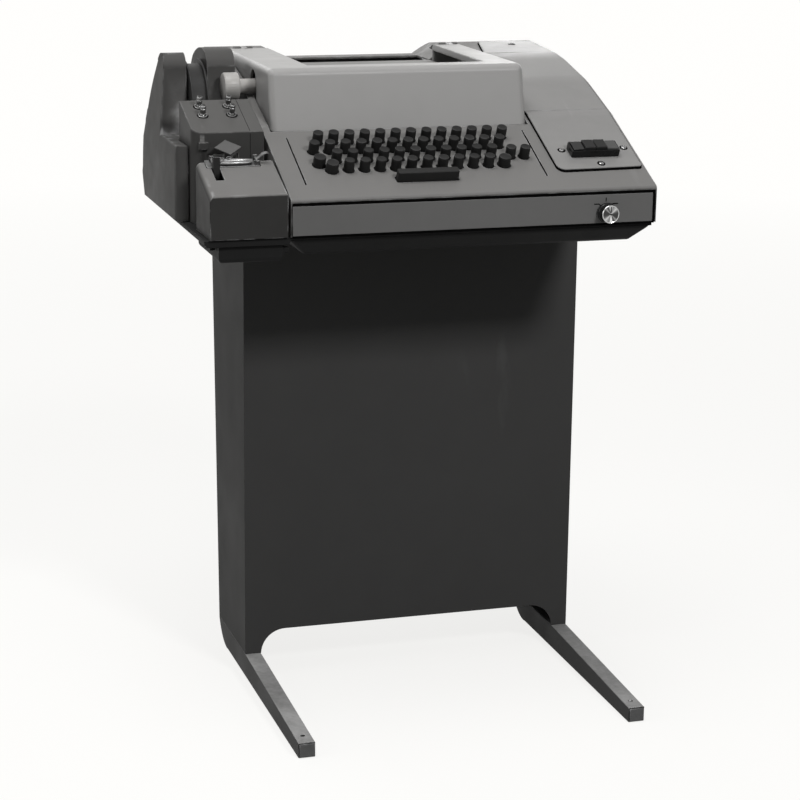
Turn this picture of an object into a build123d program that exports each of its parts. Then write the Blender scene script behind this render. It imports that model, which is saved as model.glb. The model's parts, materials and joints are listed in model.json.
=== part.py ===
from build123d import *
from math import cos, radians, sin, tan
import os

os.makedirs("parts", exist_ok=True)

# Driving dimensions, in millimetres.
# The frame is centred under the whole teleprinter: +X right, +Y to the back, +Z up, floor at z = 0.
WIDTH = 554.0  # from the outside of the tape unit to the right side of the main cover
DEPTH = 500.0  # from the front ends of the feet to the back of the main cover
BODY_W = 448.0  # the main cover alone
TABLE_Z = 600.0  # top of the stand, where the machine's pan sits
COVER_LOW = 626.0  # lower edge of every cover, on the pan
FEET_AHEAD = 30.0  # the feet reach this far in front of the fascia
KEY_PITCH = 19.05  # three quarters of an inch, as on typewriters
ROW_PITCH = 20.3
DECK_SLOPE = 24.0  # degrees, keyboard and control panel
TAPE_SLOPE = 20.5  # degrees, tops of the punch and the reader
SKIN = 3.0  # moulded covers
SHEET = 2.0  # folded steel of the stand
SLIDING_GAP = 1.0  # between a moving cover or key and what it passes
RUNNING = 0.06  # on the radius, between a shaft and its bore
PAST = 1.0  # how far a cutter reaches past the face that it cuts

BODY_X = WIDTH / 2 - BODY_W / 2
FASCIA_Y = FEET_AHEAD - DEPTH / 2
HALF = BODY_W / 2


def across(x):
    """Row x of a distance from the main cover's centre line."""
    return BODY_X + x


def back(y):
    """Row y of a distance behind the fascia's front face."""
    return FASCIA_Y + y


def save(part, name):
    """Label a finished piece and write its STEP file."""
    part.label = name
    export_step(part, f"parts/{name}.step")


def block(x0, x1, y0, y1, z0, z1, mode=Mode.ADD):
    """A box between two corners, given from the centre line and the fascia."""
    with Locations((across((x0 + x1) / 2), back((y0 + y1) / 2), (z0 + z1) / 2)):
        Box(x1 - x0, y1 - y0, z1 - z0, mode=mode)


def rod(x0, x1, y, z, radius, mode=Mode.ADD):
    """A cylinder along X."""
    with Locations((across((x0 + x1) / 2), back(y), z)):
        Cylinder(radius, x1 - x0, rotation=(0, 90, 0), mode=mode)


def upright(x, y, z0, z1, radius, mode=Mode.ADD):
    """A cylinder along Z."""
    with Locations((across(x), back(y), (z0 + z1) / 2)):
        Cylinder(radius, z1 - z0, mode=mode)


def knob_rod(y0, y1, radius, mode=Mode.ADD):
    """A cylinder along Y on the mode knob's axis."""
    with Locations((across(MODE_KNOB[0]), back((y0 + y1) / 2), MODE_KNOB[1])):
        Cylinder(radius, y1 - y0, rotation=(90, 0, 0), mode=mode)


def side_plane(x):
    """Plane of a side profile: its own x runs to the back and its own y up."""
    return Plane(origin=(across(x), FASCIA_Y, 0), x_dir=(0, 1, 0), z_dir=(1, 0, 0))


def front_left_edge(solid):
    """The upright edge at a solid's front left corner."""
    return solid.edges().filter_by(Axis.Z).sort_by(lambda e: e.center().X + e.center().Y)[0]


def sloped_plane(y, z, degrees):
    """Plane lying on a sloped top: its own x is across and its own y runs up the slope."""
    return Plane(
        origin=(BODY_X, back(y), z),
        x_dir=(1, 0, 0),
        z_dir=(0, -sin(radians(degrees)), cos(radians(degrees))),
    )


# Main cover: one outline from the side, used by the cover, the lid and the panel plate.
DECK_EDGE = (0.0, 668.7)
CREST = [DECK_EDGE, (150.0, 735.5), (236.0, 766.5), (330.0, 787.3), (470.0, 796.0)]
CREST_ROUND = [5.0, 220.0, 220.0, 260.0, 12.0]
LOW_ROUND = [4.0, 4.0]
OUTLINE_LOW = COVER_LOW - 60  # the outline is drawn down to here and then cut off level
deck = sloped_plane(DECK_EDGE[0], DECK_EDGE[1], DECK_SLOPE)


def cover_outline(x, grow, low):
    """Sketch of the cover's side outline, grown or shrunk by a wall, cut off at height low."""
    back_y = CREST[-1][0]
    with BuildSketch(side_plane(x)) as outline:
        with BuildLine():
            FilletPolyline(
                *CREST,
                (back_y, OUTLINE_LOW),
                (0, OUTLINE_LOW),
                radius=CREST_ROUND + LOW_ROUND,
                close=True,
            )
        make_face()
        if grow:
            offset(amount=grow, kind=Kind.INTERSECTION)
        with Locations((back_y / 2, low - TABLE_Z / 2)):
            Rectangle(2 * back_y, TABLE_Z, mode=Mode.SUBTRACT)
    return outline.sketch


# Keyboard: where each key stands on the deck.
ROW_S = [58.5 + ROW_PITCH * n for n in range(4)]  # up the slope, lower row first
KEY_D = 12.6
KEY_HIGH = 14.5
KEY_UNDER = 6.0  # how far a key cap reaches below the deck's top
STEM_D = 4.0
BIG_KEY_D = 15.0
BIG_KEY_HIGH = 12.0
SMALL_DISH_R = 20.0
BIG_DISH_R = 26.0
NUMBER_X = [-164.8 + KEY_PITCH * n for n in range(13)]
UPPER_X = [-174.4 + KEY_PITCH * n for n in range(13)]
HOME_X = [-151.6 + KEY_PITCH * n for n in range(11)]
LOWER_X = [-141.6 + KEY_PITCH * n for n in range(10)]
CONTROL_AT = (HOME_X[0] - 1.17 * KEY_PITCH, ROW_S[1] - 7.5)
REPEAT_AT = (HOME_X[-1] + 1.22 * KEY_PITCH, ROW_S[1] - 3.5)
BREAK_AT = (HOME_X[-1] + 2.12 * KEY_PITCH, ROW_S[1] - 4.5)
LEFT_SHIFT_AT = (LOWER_X[0] - 1.06 * KEY_PITCH, ROW_S[0])
RIGHT_SHIFT_AT = (LOWER_X[-1] + 1.03 * KEY_PITCH, ROW_S[0])
SPACE_BAR = (-52.4, 35.0)
SPACE_SIZE = (75.0, 11.0)
SPACE_ROUND = 2.5
GROOVE_X = (-199.0, 95.5)  # two grooves in the deck set the keyboard off
GROOVE_S = 82.0
GROOVE_SIZE = (1.6, 102.0, 2.0)

small_keys = {
    "number_row_keys": [(x, ROW_S[3]) for x in NUMBER_X],
    "upper_letter_keys": [(x, ROW_S[2]) for x in UPPER_X],
    "home_letter_keys": [(x, ROW_S[1]) for x in HOME_X],
    "lower_letter_keys": [(x, ROW_S[0]) for x in LOWER_X],
    "repeat_key": [REPEAT_AT],
    "break_key": [BREAK_AT],
}
big_keys = {
    "control_key": [CONTROL_AT],
    "left_shift_key": [LEFT_SHIFT_AT],
    "right_shift_key": [RIGHT_SHIFT_AT],
}

# Printer lid: a hood that lifts about its back edge.
LID_LEFT = -214.0
LID_RIGHT = 107.0
LID_FRONT = 135.0
LID_BACK = 391.0
LID_TOP = 800.0
LID_HINGE = (391.5, 800.2)
HINGE_R = 2.2
HINGE_PIN_R = 1.2
HINGE_PLAY = 0.4
HINGE_LEAF = 12.0
HINGES = [(-200.0, -192.0, -184.0, -176.0), (76.0, 84.0, 92.0, 100.0)]  # where their knuckles begin and end
LID_FOOT = (727.0, 768.0)  # lower edge of its sides, front and back
LID_LEAN = 17.0  # the front face leans back this far
LID_ROUND = (10.0, 7.0, 8.0)  # its front edge, back edge and ends
LID_ROOM_ROUND = 5.0
PAPER_LEFT = -157.0
PAPER_RIGHT = 66.0
PAPER_FRONT = 183.0

# Platen, whose knob stands out of the lid's left side.
PLATEN_Y = 222.0
PLATEN_Z = 772.0
PLATEN_R = 18.0
PLATEN_SHAFT_R = 5.0
KNOB_STEM_R = 9.0
KNOB_R = 17.0
KNOB_SPAN = (-253.0, -234.0)
KNOB_STEM_END = -196.0
KNOB_FIT = 0.02
STEM_SLOT_Y = (PLATEN_Y - KNOB_STEM_R - 1, PLATEN_Y + KNOB_STEM_R + 10)  # the lid swings past the stem
STEM_SLOT_R = (STEM_SLOT_Y[1] - STEM_SLOT_Y[0]) / 2
STEM_SLOT_TOP = PLATEN_Z + 5

# Paper well behind the lid, between the cover's two shoulders.
WELL_FLOOR_Z = 780.0
WELL = (-118.0, 62.0)
WELL_TOP = (-158.0, 92.0)
WELL_Y = (393.0, 446.0)
NOTCH_TOP = LID_TOP + 40
NOTCH_LONG = 120.0


def well_notch(grow):
    """The sloped notch that drops the cover's back rim between the shoulders."""
    with BuildPart() as notch:
        with BuildSketch(Plane.XZ.offset(-back(WELL_Y[0] - SLIDING_GAP - grow))):
            with BuildLine():
                Polyline(
                    (across(WELL[0] - grow), WELL_FLOOR_Z - grow),
                    (across(WELL[1] + grow), WELL_FLOOR_Z - grow),
                    (across(WELL_TOP[1] + grow), LID_TOP),
                    (across(WELL_TOP[1] + grow), NOTCH_TOP),
                    (across(WELL_TOP[0] - grow), NOTCH_TOP),
                    (across(WELL_TOP[0] - grow), LID_TOP),
                    close=True,
                )
            make_face()
        extrude(amount=-NOTCH_LONG)
    return notch.part


# Mode knob on the fascia and the panel keys on the raised plate.
MODE_KNOB = (160.0, 640.0)
MODE_SHAFT_R = 3.0
PANEL = (112.0, 219.0)
PANEL_FRONT = 34.0
PANEL_RAISE = 3.5
PANEL_BLOCK = (136.0, 197.0)
PANEL_BLOCK_S = (62.5, 84.0)
PANEL_BLOCK_HIGH = 9.0
PANEL_WALL = 1.5
PANEL_SCREWS = [(128.8, 79.9), (209.2, 81.0), (169.0, 48.2)]  # across, up the slope
REAR_SCREW = (183.0, 410.0)
SCREW_R = 2.0
SCREW_HOLE_R = 2.2
SCREW_LONG = 12.2
SCREW_HEAD_R = 3.6
SCREW_HEAD_HIGH = 1.7
HEAD_OVER_PLATE = 0.05
REAR_TOP_AT = 400.0
rear_top = sloped_plane(REAR_TOP_AT, 791.65, 3.556)


def panel_screw_holes():
    """Holes for the panel plate's four screws, cut through whatever is being built."""
    with Locations(deck.location):
        with Locations(*[(x, s, 0) for x, s in PANEL_SCREWS]):
            Cylinder(SCREW_HOLE_R, 2 * SCREW_LONG, mode=Mode.SUBTRACT)
    with Locations(rear_top.location):
        with Locations((REAR_SCREW[0], REAR_SCREW[1] - REAR_TOP_AT, 0)):
            Cylinder(SCREW_HOLE_R, 2 * SCREW_LONG, mode=Mode.SUBTRACT)


# Tape unit on the left: reader at the front, punch behind it, tape well at the back.
READER = (-318.0, -227.0)
READER_BACK = 74.0
PUNCH = (-314.0, -229.0)
PUNCH_Y = (109.0, 186.0)
READER_TOP_Z = 677.0
PUNCH_TOP_Z = 733.0
TAPE_LEFT = -(WIDTH - HALF)
REEL_AT = (270.0, 741.0)
REEL_R = 60.0
REEL_X = (-292.0, -271.0)
reader_top = sloped_plane(2.0, READER_TOP_Z, TAPE_SLOPE)
punch_top = sloped_plane(PUNCH_Y[0], PUNCH_TOP_Z, TAPE_SLOPE)
PUNCH_BUTTONS = {
    "punch_release_button": (-293.5, 63.5),
    "punch_off_button": (-258.5, 63.5),
    "punch_backspace_button": (-293.5, 41.5),
    "punch_on_button": (-258.5, 41.5),
}
BUTTON_R = 3.4
BUTTON_BORE_R = 4.2

# Stand.
STAND_BACK_PANEL_Z = (70.0, 588.0)
COLUMN_X = 222.5
COLUMN_FRONT = 248.0
FOOT_W = 21.0
FOOT_TOP = 31.0
FOOT_NOSE = 19.0
COLUMN_BACK_LOW = 404.0
COLUMN_BACK_TOP = 433.0
ARCH_TOP = 62.0
ARCH_HIGH = 100.0
ARCH_R = 32.0
CORD_OPENING = (120.0, 70.0)
BOLT_X = (-190.0, 190.0)
BOLT_Y = (275.0, 395.0)
BOLT_HOLE_R = 3.5
GLAND = (0.0, 365.0)
GLAND_R = (4.2, 6.0, 9.0)  # bore, neck and flange


def column_side(shrink):
    """Side outline of the stand's column, narrower at the floor than at the top."""
    with BuildSketch(side_plane(-COLUMN_X + shrink)) as outline:
        with BuildLine():
            Polyline(
                (COLUMN_FRONT + shrink, FOOT_TOP),
                (COLUMN_BACK_LOW - shrink, FOOT_TOP),
                (COLUMN_BACK_TOP - shrink, TABLE_Z - shrink),
                (COLUMN_FRONT + shrink, TABLE_Z - shrink),
                close=True,
            )
        make_face()
    return outline.sketch


FLANGE = 22.0
with BuildPart() as stand_column:
    extrude(column_side(0), amount=2 * COLUMN_X)
    extrude(column_side(SHEET), amount=2 * (COLUMN_X - SHEET), mode=Mode.SUBTRACT)
    # The bottom is open, and so is the back between two return flanges.
    block(
        -COLUMN_X + FLANGE,
        COLUMN_X - FLANGE,
        COLUMN_BACK_LOW - 6 * SHEET,
        COLUMN_BACK_TOP + PAST,
        0,
        TABLE_Z - SHEET,
        Mode.SUBTRACT,
    )
    with BuildSketch(Plane.XZ.offset(-back(COLUMN_FRONT + 2 * SHEET))):
        with Locations((BODY_X, ARCH_TOP - ARCH_HIGH / 2)):
            RectangleRounded(2 * (COLUMN_X - FOOT_W), ARCH_HIGH, ARCH_R)
    extrude(amount=4 * SHEET, mode=Mode.SUBTRACT)
    # The top lets the cord through, and takes the machine's bolts.
    with Locations((across(GLAND[0]), back(GLAND[1]), TABLE_Z)):
        Box(*CORD_OPENING, 3 * SHEET, mode=Mode.SUBTRACT)
    for x in BOLT_X:
        for y in BOLT_Y:
            upright(x, y, TABLE_Z - SHEET - PAST, TABLE_Z + PAST, BOLT_HOLE_R, Mode.SUBTRACT)
save(stand_column.part, "stand_column")

BACK_PANEL_X = COLUMN_X - SHEET - SLIDING_GAP
with BuildPart() as stand_back_panel:
    with BuildSketch(side_plane(-BACK_PANEL_X)):
        with BuildLine():
            Polyline(
                (COLUMN_BACK_LOW - 4 * SHEET, STAND_BACK_PANEL_Z[0]),
                (COLUMN_BACK_LOW - 3 * SHEET, STAND_BACK_PANEL_Z[0]),
                (COLUMN_BACK_TOP - 3.5 * SHEET, STAND_BACK_PANEL_Z[1]),
                (COLUMN_BACK_TOP - 4.5 * SHEET, STAND_BACK_PANEL_Z[1]),
                close=True,
            )
        make_face()
    extrude(amount=2 * BACK_PANEL_X)
save(stand_back_panel.part, "stand_back_panel")

# Feet: closed channels whose front ends take a plug, held by a screw from above.
FOOT_HEEL = 353.0
HEEL_MID = (386.0, 9.0)  # the heel's arc passes here on its way up to the column
FOOT_TIP = 2.0 - FEET_AHEAD
FOOT_ROUND = 1.5
FOOT_WALL = 2.5
FOOT_HOLE_Y = 22.0 - FEET_AHEAD
FOOT_HOLE_R = 3.0
FOOT_HOLE_Z = (FOOT_NOSE - 8, FOOT_NOSE + 9)
PLUG_LONG = 12.0
PLUG_PLAY = 0.5
PLUG_RIM = 1.0
for name, x in (("left_foot", -COLUMN_X), ("right_foot", COLUMN_X - FOOT_W)):
    with BuildPart() as foot:
        with BuildSketch(side_plane(x)):
            with BuildLine():
                Line((FOOT_TIP, 0), (FOOT_HEEL, 0))
                ThreePointArc((FOOT_HEEL, 0), HEEL_MID, (COLUMN_BACK_LOW, FOOT_TOP))
                Polyline(
                    (COLUMN_BACK_LOW, FOOT_TOP),
                    (COLUMN_FRONT, FOOT_TOP),
                    (FOOT_TIP, FOOT_NOSE),
                    (FOOT_TIP, 0),
                )
            make_face()
        extrude(amount=FOOT_W)
        long_edges = [e for e in foot.edges() if e.center().Z > FOOT_NOSE and e.length > COLUMN_FRONT / 2]
        fillet([e for e in long_edges if e.center().Y < back(COLUMN_FRONT)], FOOT_ROUND)
        upright(x + FOOT_W / 2, FOOT_HOLE_Y, *FOOT_HOLE_Z, FOOT_HOLE_R, Mode.SUBTRACT)
        # Socket for the plug in the foot's open end.
        block(
            x + FOOT_WALL,
            x + FOOT_W - FOOT_WALL,
            FOOT_TIP - PAST,
            FOOT_TIP + PLUG_LONG,
            FOOT_WALL,
            FOOT_NOSE - FOOT_WALL - PLUG_PLAY,
            Mode.SUBTRACT,
        )
    save(foot.part, name)

with BuildPart() as foot_plugs:
    for x in (-COLUMN_X, COLUMN_X - FOOT_W):
        inset = FOOT_WALL + PLUG_PLAY
        plug_y = (FOOT_TIP, FOOT_TIP + PLUG_LONG - 1)
        block(x + inset, x + FOOT_W - inset, *plug_y, inset, FOOT_NOSE - inset - PLUG_PLAY)
        block(x + PLUG_RIM, x + FOOT_W - PLUG_RIM, -FEET_AHEAD, FOOT_TIP, PLUG_RIM, FOOT_NOSE - PLUG_RIM)
save(foot_plugs.part, "foot_plugs")

# Base pan under the main cover, and the shelf that carries the tape unit.
PAN_FRONT = 8.0
PAN_BACK = 462.0
PAN_BEVEL = 20.0
PAN_TOP = COVER_LOW - 0.5
PAN_HALF = HALF - 2
GLAND_PLAY = 0.4
with BuildPart() as pan_room:
    block(-PAN_HALF + SKIN, PAN_HALF - SKIN, PAN_FRONT + SKIN, PAN_BACK - SKIN, TABLE_Z + SKIN, COVER_LOW)
    chamfer(pan_room.faces().sort_by(Axis.Z)[0].edges(), PAN_BEVEL - 1)
with BuildPart() as base_pan:
    block(-PAN_HALF, PAN_HALF, PAN_FRONT, PAN_BACK, TABLE_Z, PAN_TOP)
    chamfer(base_pan.faces().sort_by(Axis.Z)[0].edges(), PAN_BEVEL)
    add(pan_room.part, mode=Mode.SUBTRACT)
    # Four bolt holes onto the stand, and the hole of the cord's gland.
    for x in BOLT_X:
        for y in BOLT_Y:
            upright(x, y, TABLE_Z - PAST, TABLE_Z + SKIN + PAST, BOLT_HOLE_R, Mode.SUBTRACT)
    upright(*GLAND, TABLE_Z - PAST, TABLE_Z + SKIN + PAST, GLAND_R[1] + GLAND_PLAY, Mode.SUBTRACT)
save(base_pan.part, "base_pan")

SHELF_LOW = 617.0
SHELF_BACK = 322.0
CHAD = (-306.0, -231.0)
CHAD_FRONT = 10.0
CHAD_BACK = 120.0
CHAD_LOW = 597.0
CHAD_LIP = (612.5, 614.5)  # the drawer's side lips run on the shelf's rails
CHAD_LIP_OUT = 3.0
CHAD_PLAY = 0.6
CHAD_ROUND = 6.0
CHAD_LIP_Y = (32.0, 118.0)
CHAD_TAB = (-232.0, -223.0, 16.0, 24.0, 606.0, 612.0)
RAIL_OUT = 6.0
RAIL_RUN = (30.0, 130.0)
SHELF_SIDE = 6.0
SHELF_FRONT = 4.0
SHELF_BEVEL = 4.0
with BuildPart() as tape_unit_shelf:
    block(TAPE_LEFT + SHELF_SIDE, -HALF + 1, SHELF_FRONT, SHELF_BACK, SHELF_LOW, PAN_TOP)
    chamfer(tape_unit_shelf.faces().sort_by(Axis.Z)[0].edges().filter_by(Axis.Y), SHELF_BEVEL)
    rail_z = (CHAD_LIP[0] - CHAD_LIP_OUT, CHAD_LIP[0] - CHAD_PLAY)
    web = CHAD_LIP_OUT + CHAD_PLAY
    block(CHAD[0] - RAIL_OUT, CHAD[0] - web, *RAIL_RUN, rail_z[0], SHELF_LOW + 1)
    block(CHAD[0] - RAIL_OUT, CHAD[0] - CHAD_PLAY, *RAIL_RUN, *rail_z)
    block(CHAD[1] + web, CHAD[1] + RAIL_OUT, *RAIL_RUN, rail_z[0], SHELF_LOW + 1)
    block(CHAD[1] + CHAD_PLAY, CHAD[1] + RAIL_OUT, *RAIL_RUN, *rail_z)
save(tape_unit_shelf.part, "tape_unit_shelf")

# Chad box: a drawer that hangs from the shelf's rails and pulls out to the front.
with BuildPart() as chad_box:
    block(*CHAD, CHAD_FRONT, CHAD_BACK, CHAD_LOW, SHELF_LOW - CHAD_PLAY)
    fillet(chad_box.faces().sort_by(Axis.Z)[0].edges(), CHAD_ROUND)
    block(
        CHAD[0] + SHEET,
        CHAD[1] - SHEET,
        CHAD_FRONT + SHEET,
        CHAD_BACK - SHEET,
        CHAD_LOW + CHAD_ROUND + 1,
        SHELF_LOW,
        Mode.SUBTRACT,
    )
    block(*CHAD_TAB)
    block(CHAD[0] - CHAD_LIP_OUT, CHAD[0] + 1, *CHAD_LIP_Y, *CHAD_LIP)
    block(CHAD[1] - 1, CHAD[1] + CHAD_LIP_OUT, *CHAD_LIP_Y, *CHAD_LIP)
save(chad_box.part, "chad_box")

# Main cover: a moulded shell, open below, with the deck, the lid opening and the paper well.
OPENING_LOW = COVER_LOW + 60  # the lid opening and the paper well are cut from here up
KEY_HOLE_CUT = 10.0
HINGE_FOOT_Z = 789.0
HINGE_BACK = 6.5
with BuildPart() as cover_room:
    extrude(cover_outline(-HALF + SKIN, -SKIN, COVER_LOW - PAST), amount=BODY_W - 2 * SKIN)
    add(well_notch(SKIN), mode=Mode.SUBTRACT)
FASCIA = (-HALF + 1.5, HALF - 1.5)
FASCIA_TOP = 665.0
with BuildPart() as main_cover:
    extrude(cover_outline(-HALF, 0, COVER_LOW), amount=BODY_W)
    add(well_notch(0), mode=Mode.SUBTRACT)
    add(cover_room.part, mode=Mode.SUBTRACT)
    block(*FASCIA, -PAST, SKIN + PAST, COVER_LOW - PAST, FASCIA_TOP, Mode.SUBTRACT)
    block(
        LID_LEFT - SLIDING_GAP,
        LID_RIGHT + SLIDING_GAP,
        LID_FRONT - SLIDING_GAP,
        LID_BACK + SLIDING_GAP,
        OPENING_LOW,
        NOTCH_TOP,
        Mode.SUBTRACT,
    )
    block(*WELL, LID_BACK, WELL_Y[1], OPENING_LOW, LID_TOP, Mode.SUBTRACT)
    panel_screw_holes()
    # The lid's two hinges: outer knuckles and pins.
    for hinge in HINGES:
        for x0, x1 in (hinge[:2], hinge[2:]):
            block(x0, x1, LID_HINGE[0] + 1, LID_HINGE[0] + HINGE_BACK, HINGE_FOOT_Z, LID_HINGE[1])
            rod(x0, x1, *LID_HINGE, HINGE_R)
        rod(hinge[0], hinge[3], *LID_HINGE, HINGE_PIN_R)
    with Locations(deck):
        with Locations(*[(x, GROOVE_S) for x in GROOVE_X]):
            Box(*GROOVE_SIZE, mode=Mode.SUBTRACT)
    with BuildSketch(deck):
        for places in small_keys.values():
            with Locations(*places):
                Circle(KEY_D / 2 + SLIDING_GAP)
        for places in big_keys.values():
            with Locations(*places):
                Circle(BIG_KEY_D / 2 + SLIDING_GAP)
        with Locations(SPACE_BAR):
            RectangleRounded(SPACE_SIZE[0] + 2 * SLIDING_GAP, SPACE_SIZE[1] + 2 * SLIDING_GAP, SPACE_ROUND)
    extrude(amount=KEY_HOLE_CUT, both=True, mode=Mode.SUBTRACT)
save(main_cover.part, "main_cover")

FASCIA_THICK = 2.5
FASCIA_GAP = 0.5
FASCIA_UNDER_LIP = 3.5
with BuildPart() as front_fascia:
    block(
        FASCIA[0] + FASCIA_GAP,
        FASCIA[1] - FASCIA_GAP,
        0,
        FASCIA_THICK,
        COVER_LOW + 1,
        FASCIA_TOP - FASCIA_UNDER_LIP,
    )
    fillet(front_fascia.faces().sort_by(Axis.Y)[0].edges(), 0.8)
    knob_rod(-PAST, FASCIA_THICK + PAST, MODE_SHAFT_R + FASCIA_GAP, Mode.SUBTRACT)
save(front_fascia.part, "front_fascia")


def lid_outline(x, shrink):
    """Side outline of the lid: leaning front, flat top, and a foot that follows the cover."""
    with BuildSketch(side_plane(x)) as outline:
        with BuildLine():
            Polyline(
                (LID_FRONT + shrink, LID_FOOT[0] - 2 * shrink),
                (LID_FRONT + LID_LEAN + 0.8 * shrink, LID_TOP - shrink),
                (LID_BACK - shrink, LID_TOP - shrink),
                (LID_BACK - shrink, LID_FOOT[1] - 2 * shrink),
                close=True,
            )
        make_face()
        fillet(outline.vertices().group_by(Axis.Y)[-1].sort_by(Axis.X)[-1], LID_ROUND[1] - shrink)
        fillet(outline.vertices().group_by(Axis.Y)[-1].sort_by(Axis.X)[0], LID_ROUND[0] - shrink)
    return outline.sketch


def round_lid_ends(solid, radius):
    """The lid's two end edges that run up the front, over the top and down the back."""
    ends = [f for f in solid.faces() if abs(f.normal_at().X) > 0.9]
    rims = [e for f in ends for e in f.edges()]
    fillet([e for e in rims if e.length < 150 or e.center().Z > LID_TOP - 20], radius)


with BuildPart() as lid_room:
    extrude(lid_outline(LID_LEFT + SKIN, SKIN), amount=LID_RIGHT - LID_LEFT - 2 * SKIN)
    round_lid_ends(lid_room, LID_ROOM_ROUND)
    # Ribs left in the room become the turned-down rim of the paper opening.
    block(
        PAPER_LEFT - SKIN,
        PAPER_RIGHT + SKIN,
        PAPER_FRONT - SKIN,
        LID_BACK + 1,
        PLATEN_Z + PLATEN_R + 2,
        LID_TOP,
        Mode.SUBTRACT,
    )
with BuildPart() as printer_lid:
    extrude(lid_outline(LID_LEFT, 0), amount=LID_RIGHT - LID_LEFT)
    round_lid_ends(printer_lid, LID_ROUND[2])
    add(lid_room.part, mode=Mode.SUBTRACT)
    block(PAPER_LEFT, PAPER_RIGHT, PAPER_FRONT, LID_BACK + 1, LID_FOOT[0], LID_TOP + 1, Mode.SUBTRACT)
    # Slot for the platen knob's stem, open below so that the lid lifts off it.
    slot_end = LID_LEFT + 3 * SKIN
    block(LID_LEFT - PAST, slot_end, *STEM_SLOT_Y, LID_FOOT[0], STEM_SLOT_TOP, Mode.SUBTRACT)
    rod(LID_LEFT - PAST, slot_end, sum(STEM_SLOT_Y) / 2, STEM_SLOT_TOP, STEM_SLOT_R, Mode.SUBTRACT)
    # Middle knuckles of its two hinges.
    for hinge in HINGES:
        x0, x1 = hinge[1] + HINGE_PLAY, hinge[2] - HINGE_PLAY
        block(x0, x1, LID_HINGE[0] - HINGE_LEAF, LID_HINGE[0], LID_TOP - SKIN, LID_TOP + 1)
        rod(x0, x1, *LID_HINGE, HINGE_R)
        rod(x0 - PAST, x1 + PAST, *LID_HINGE, HINGE_PIN_R + RUNNING, Mode.SUBTRACT)
save(printer_lid.part, "printer_lid")

PANEL_SHOULDER = [(146.0, 440.0), (122.0, 341.0), (112.0, 296.0)]  # its left edge, from the back
PANEL_CORNERS = [10.0, 4.0, 5.0, 5.0, 20.0, 20.0]
with BuildPart() as panel_plan:
    with BuildSketch(Plane.XY.offset(COVER_LOW)):
        with BuildLine():
            FilletPolyline(
                (across(PANEL[0]), back(PANEL_FRONT)),
                (across(PANEL[1]), back(PANEL_FRONT + 2)),
                (across(PANEL[1]), back(PANEL_SHOULDER[0][1])),
                *[(across(x), back(y)) for x, y in PANEL_SHOULDER],
                radius=PANEL_CORNERS,
                close=True,
            )
        make_face()
    extrude(amount=WIDTH / 2)
with BuildPart() as control_panel_plate:
    extrude(cover_outline(PANEL[0] - 1, PANEL_RAISE, COVER_LOW), amount=PANEL[1] - PANEL[0] + 2)
    extrude(cover_outline(PANEL[0] - 2, 0, COVER_LOW - 1), amount=PANEL[1] - PANEL[0] + 4, mode=Mode.SUBTRACT)
    add(panel_plan.part, mode=Mode.INTERSECT)
    panel_screw_holes()
save(control_panel_plate.part, "control_panel_plate")

panel_top = deck.offset(PANEL_RAISE + 0.03)
block_mid = ((PANEL_BLOCK[0] + PANEL_BLOCK[1]) / 2, sum(PANEL_BLOCK_S) / 2)
block_size = (PANEL_BLOCK[1] - PANEL_BLOCK[0], PANEL_BLOCK_S[1] - PANEL_BLOCK_S[0])
with BuildPart() as panel_key_frame:
    with BuildSketch(panel_top):
        with Locations(block_mid):
            RectangleRounded(*block_size, 1.5)
            Rectangle(block_size[0] - 2 * PANEL_WALL, block_size[1] - 2 * PANEL_WALL, mode=Mode.SUBTRACT)
    extrude(amount=PANEL_BLOCK_HIGH)
save(panel_key_frame.part, "panel_key_frame")

PANEL_KEY_GAP = 0.5
PANEL_KEY_W = (block_size[0] - 2 * PANEL_WALL - 5 * PANEL_KEY_GAP) / 4
PANEL_KEY_TOPS = (10.5, 13.0, 13.0, 11.0)  # above the plate: the middle pair stands higher
PANEL_KEY_DROP = 2.5
PANEL_KEY_LOW = PANEL_KEY_DROP + 0.6  # clear of the plate when pressed
for n, top in enumerate(PANEL_KEY_TOPS):
    x = PANEL_BLOCK[0] + PANEL_WALL + PANEL_KEY_GAP + PANEL_KEY_W / 2 + n * (PANEL_KEY_W + PANEL_KEY_GAP)
    with BuildPart() as panel_key:
        with BuildSketch(panel_top.offset(PANEL_KEY_LOW)):
            with Locations((x, block_mid[1])):
                Rectangle(PANEL_KEY_W, block_size[1] - 2 * PANEL_WALL - 2 * PANEL_KEY_GAP)
        extrude(amount=top - PANEL_KEY_LOW)
        chamfer(panel_key.faces().sort_by(Axis.Z)[-1].edges(), 0.8)
    save(panel_key.part, f"panel_key_{n + 1}")

# Mode knob on its switch, with the call control chassis behind it.
KNOB_FACE_Y = -15.5
KNOB_SKIRT_Y = (-5.5, -2.5)
MODE_SHAFT_END = 20.0
with BuildPart() as mode_knob:
    knob_rod(*KNOB_SKIRT_Y, 12.0)
    knob_rod(KNOB_FACE_Y, KNOB_SKIRT_Y[0] + 1, 10.0)
    chamfer(mode_knob.faces().sort_by(Axis.Y)[0].edges(), 1)
    knob_rod(-4, MODE_SHAFT_END, MODE_SHAFT_R)
    # Pointer bar on its face.
    block(MODE_KNOB[0] - 1, MODE_KNOB[0] + 1, KNOB_FACE_Y - 0.9, -15, MODE_KNOB[1] + 2, MODE_KNOB[1] + 9)
save(mode_knob.part, "mode_knob")

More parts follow.
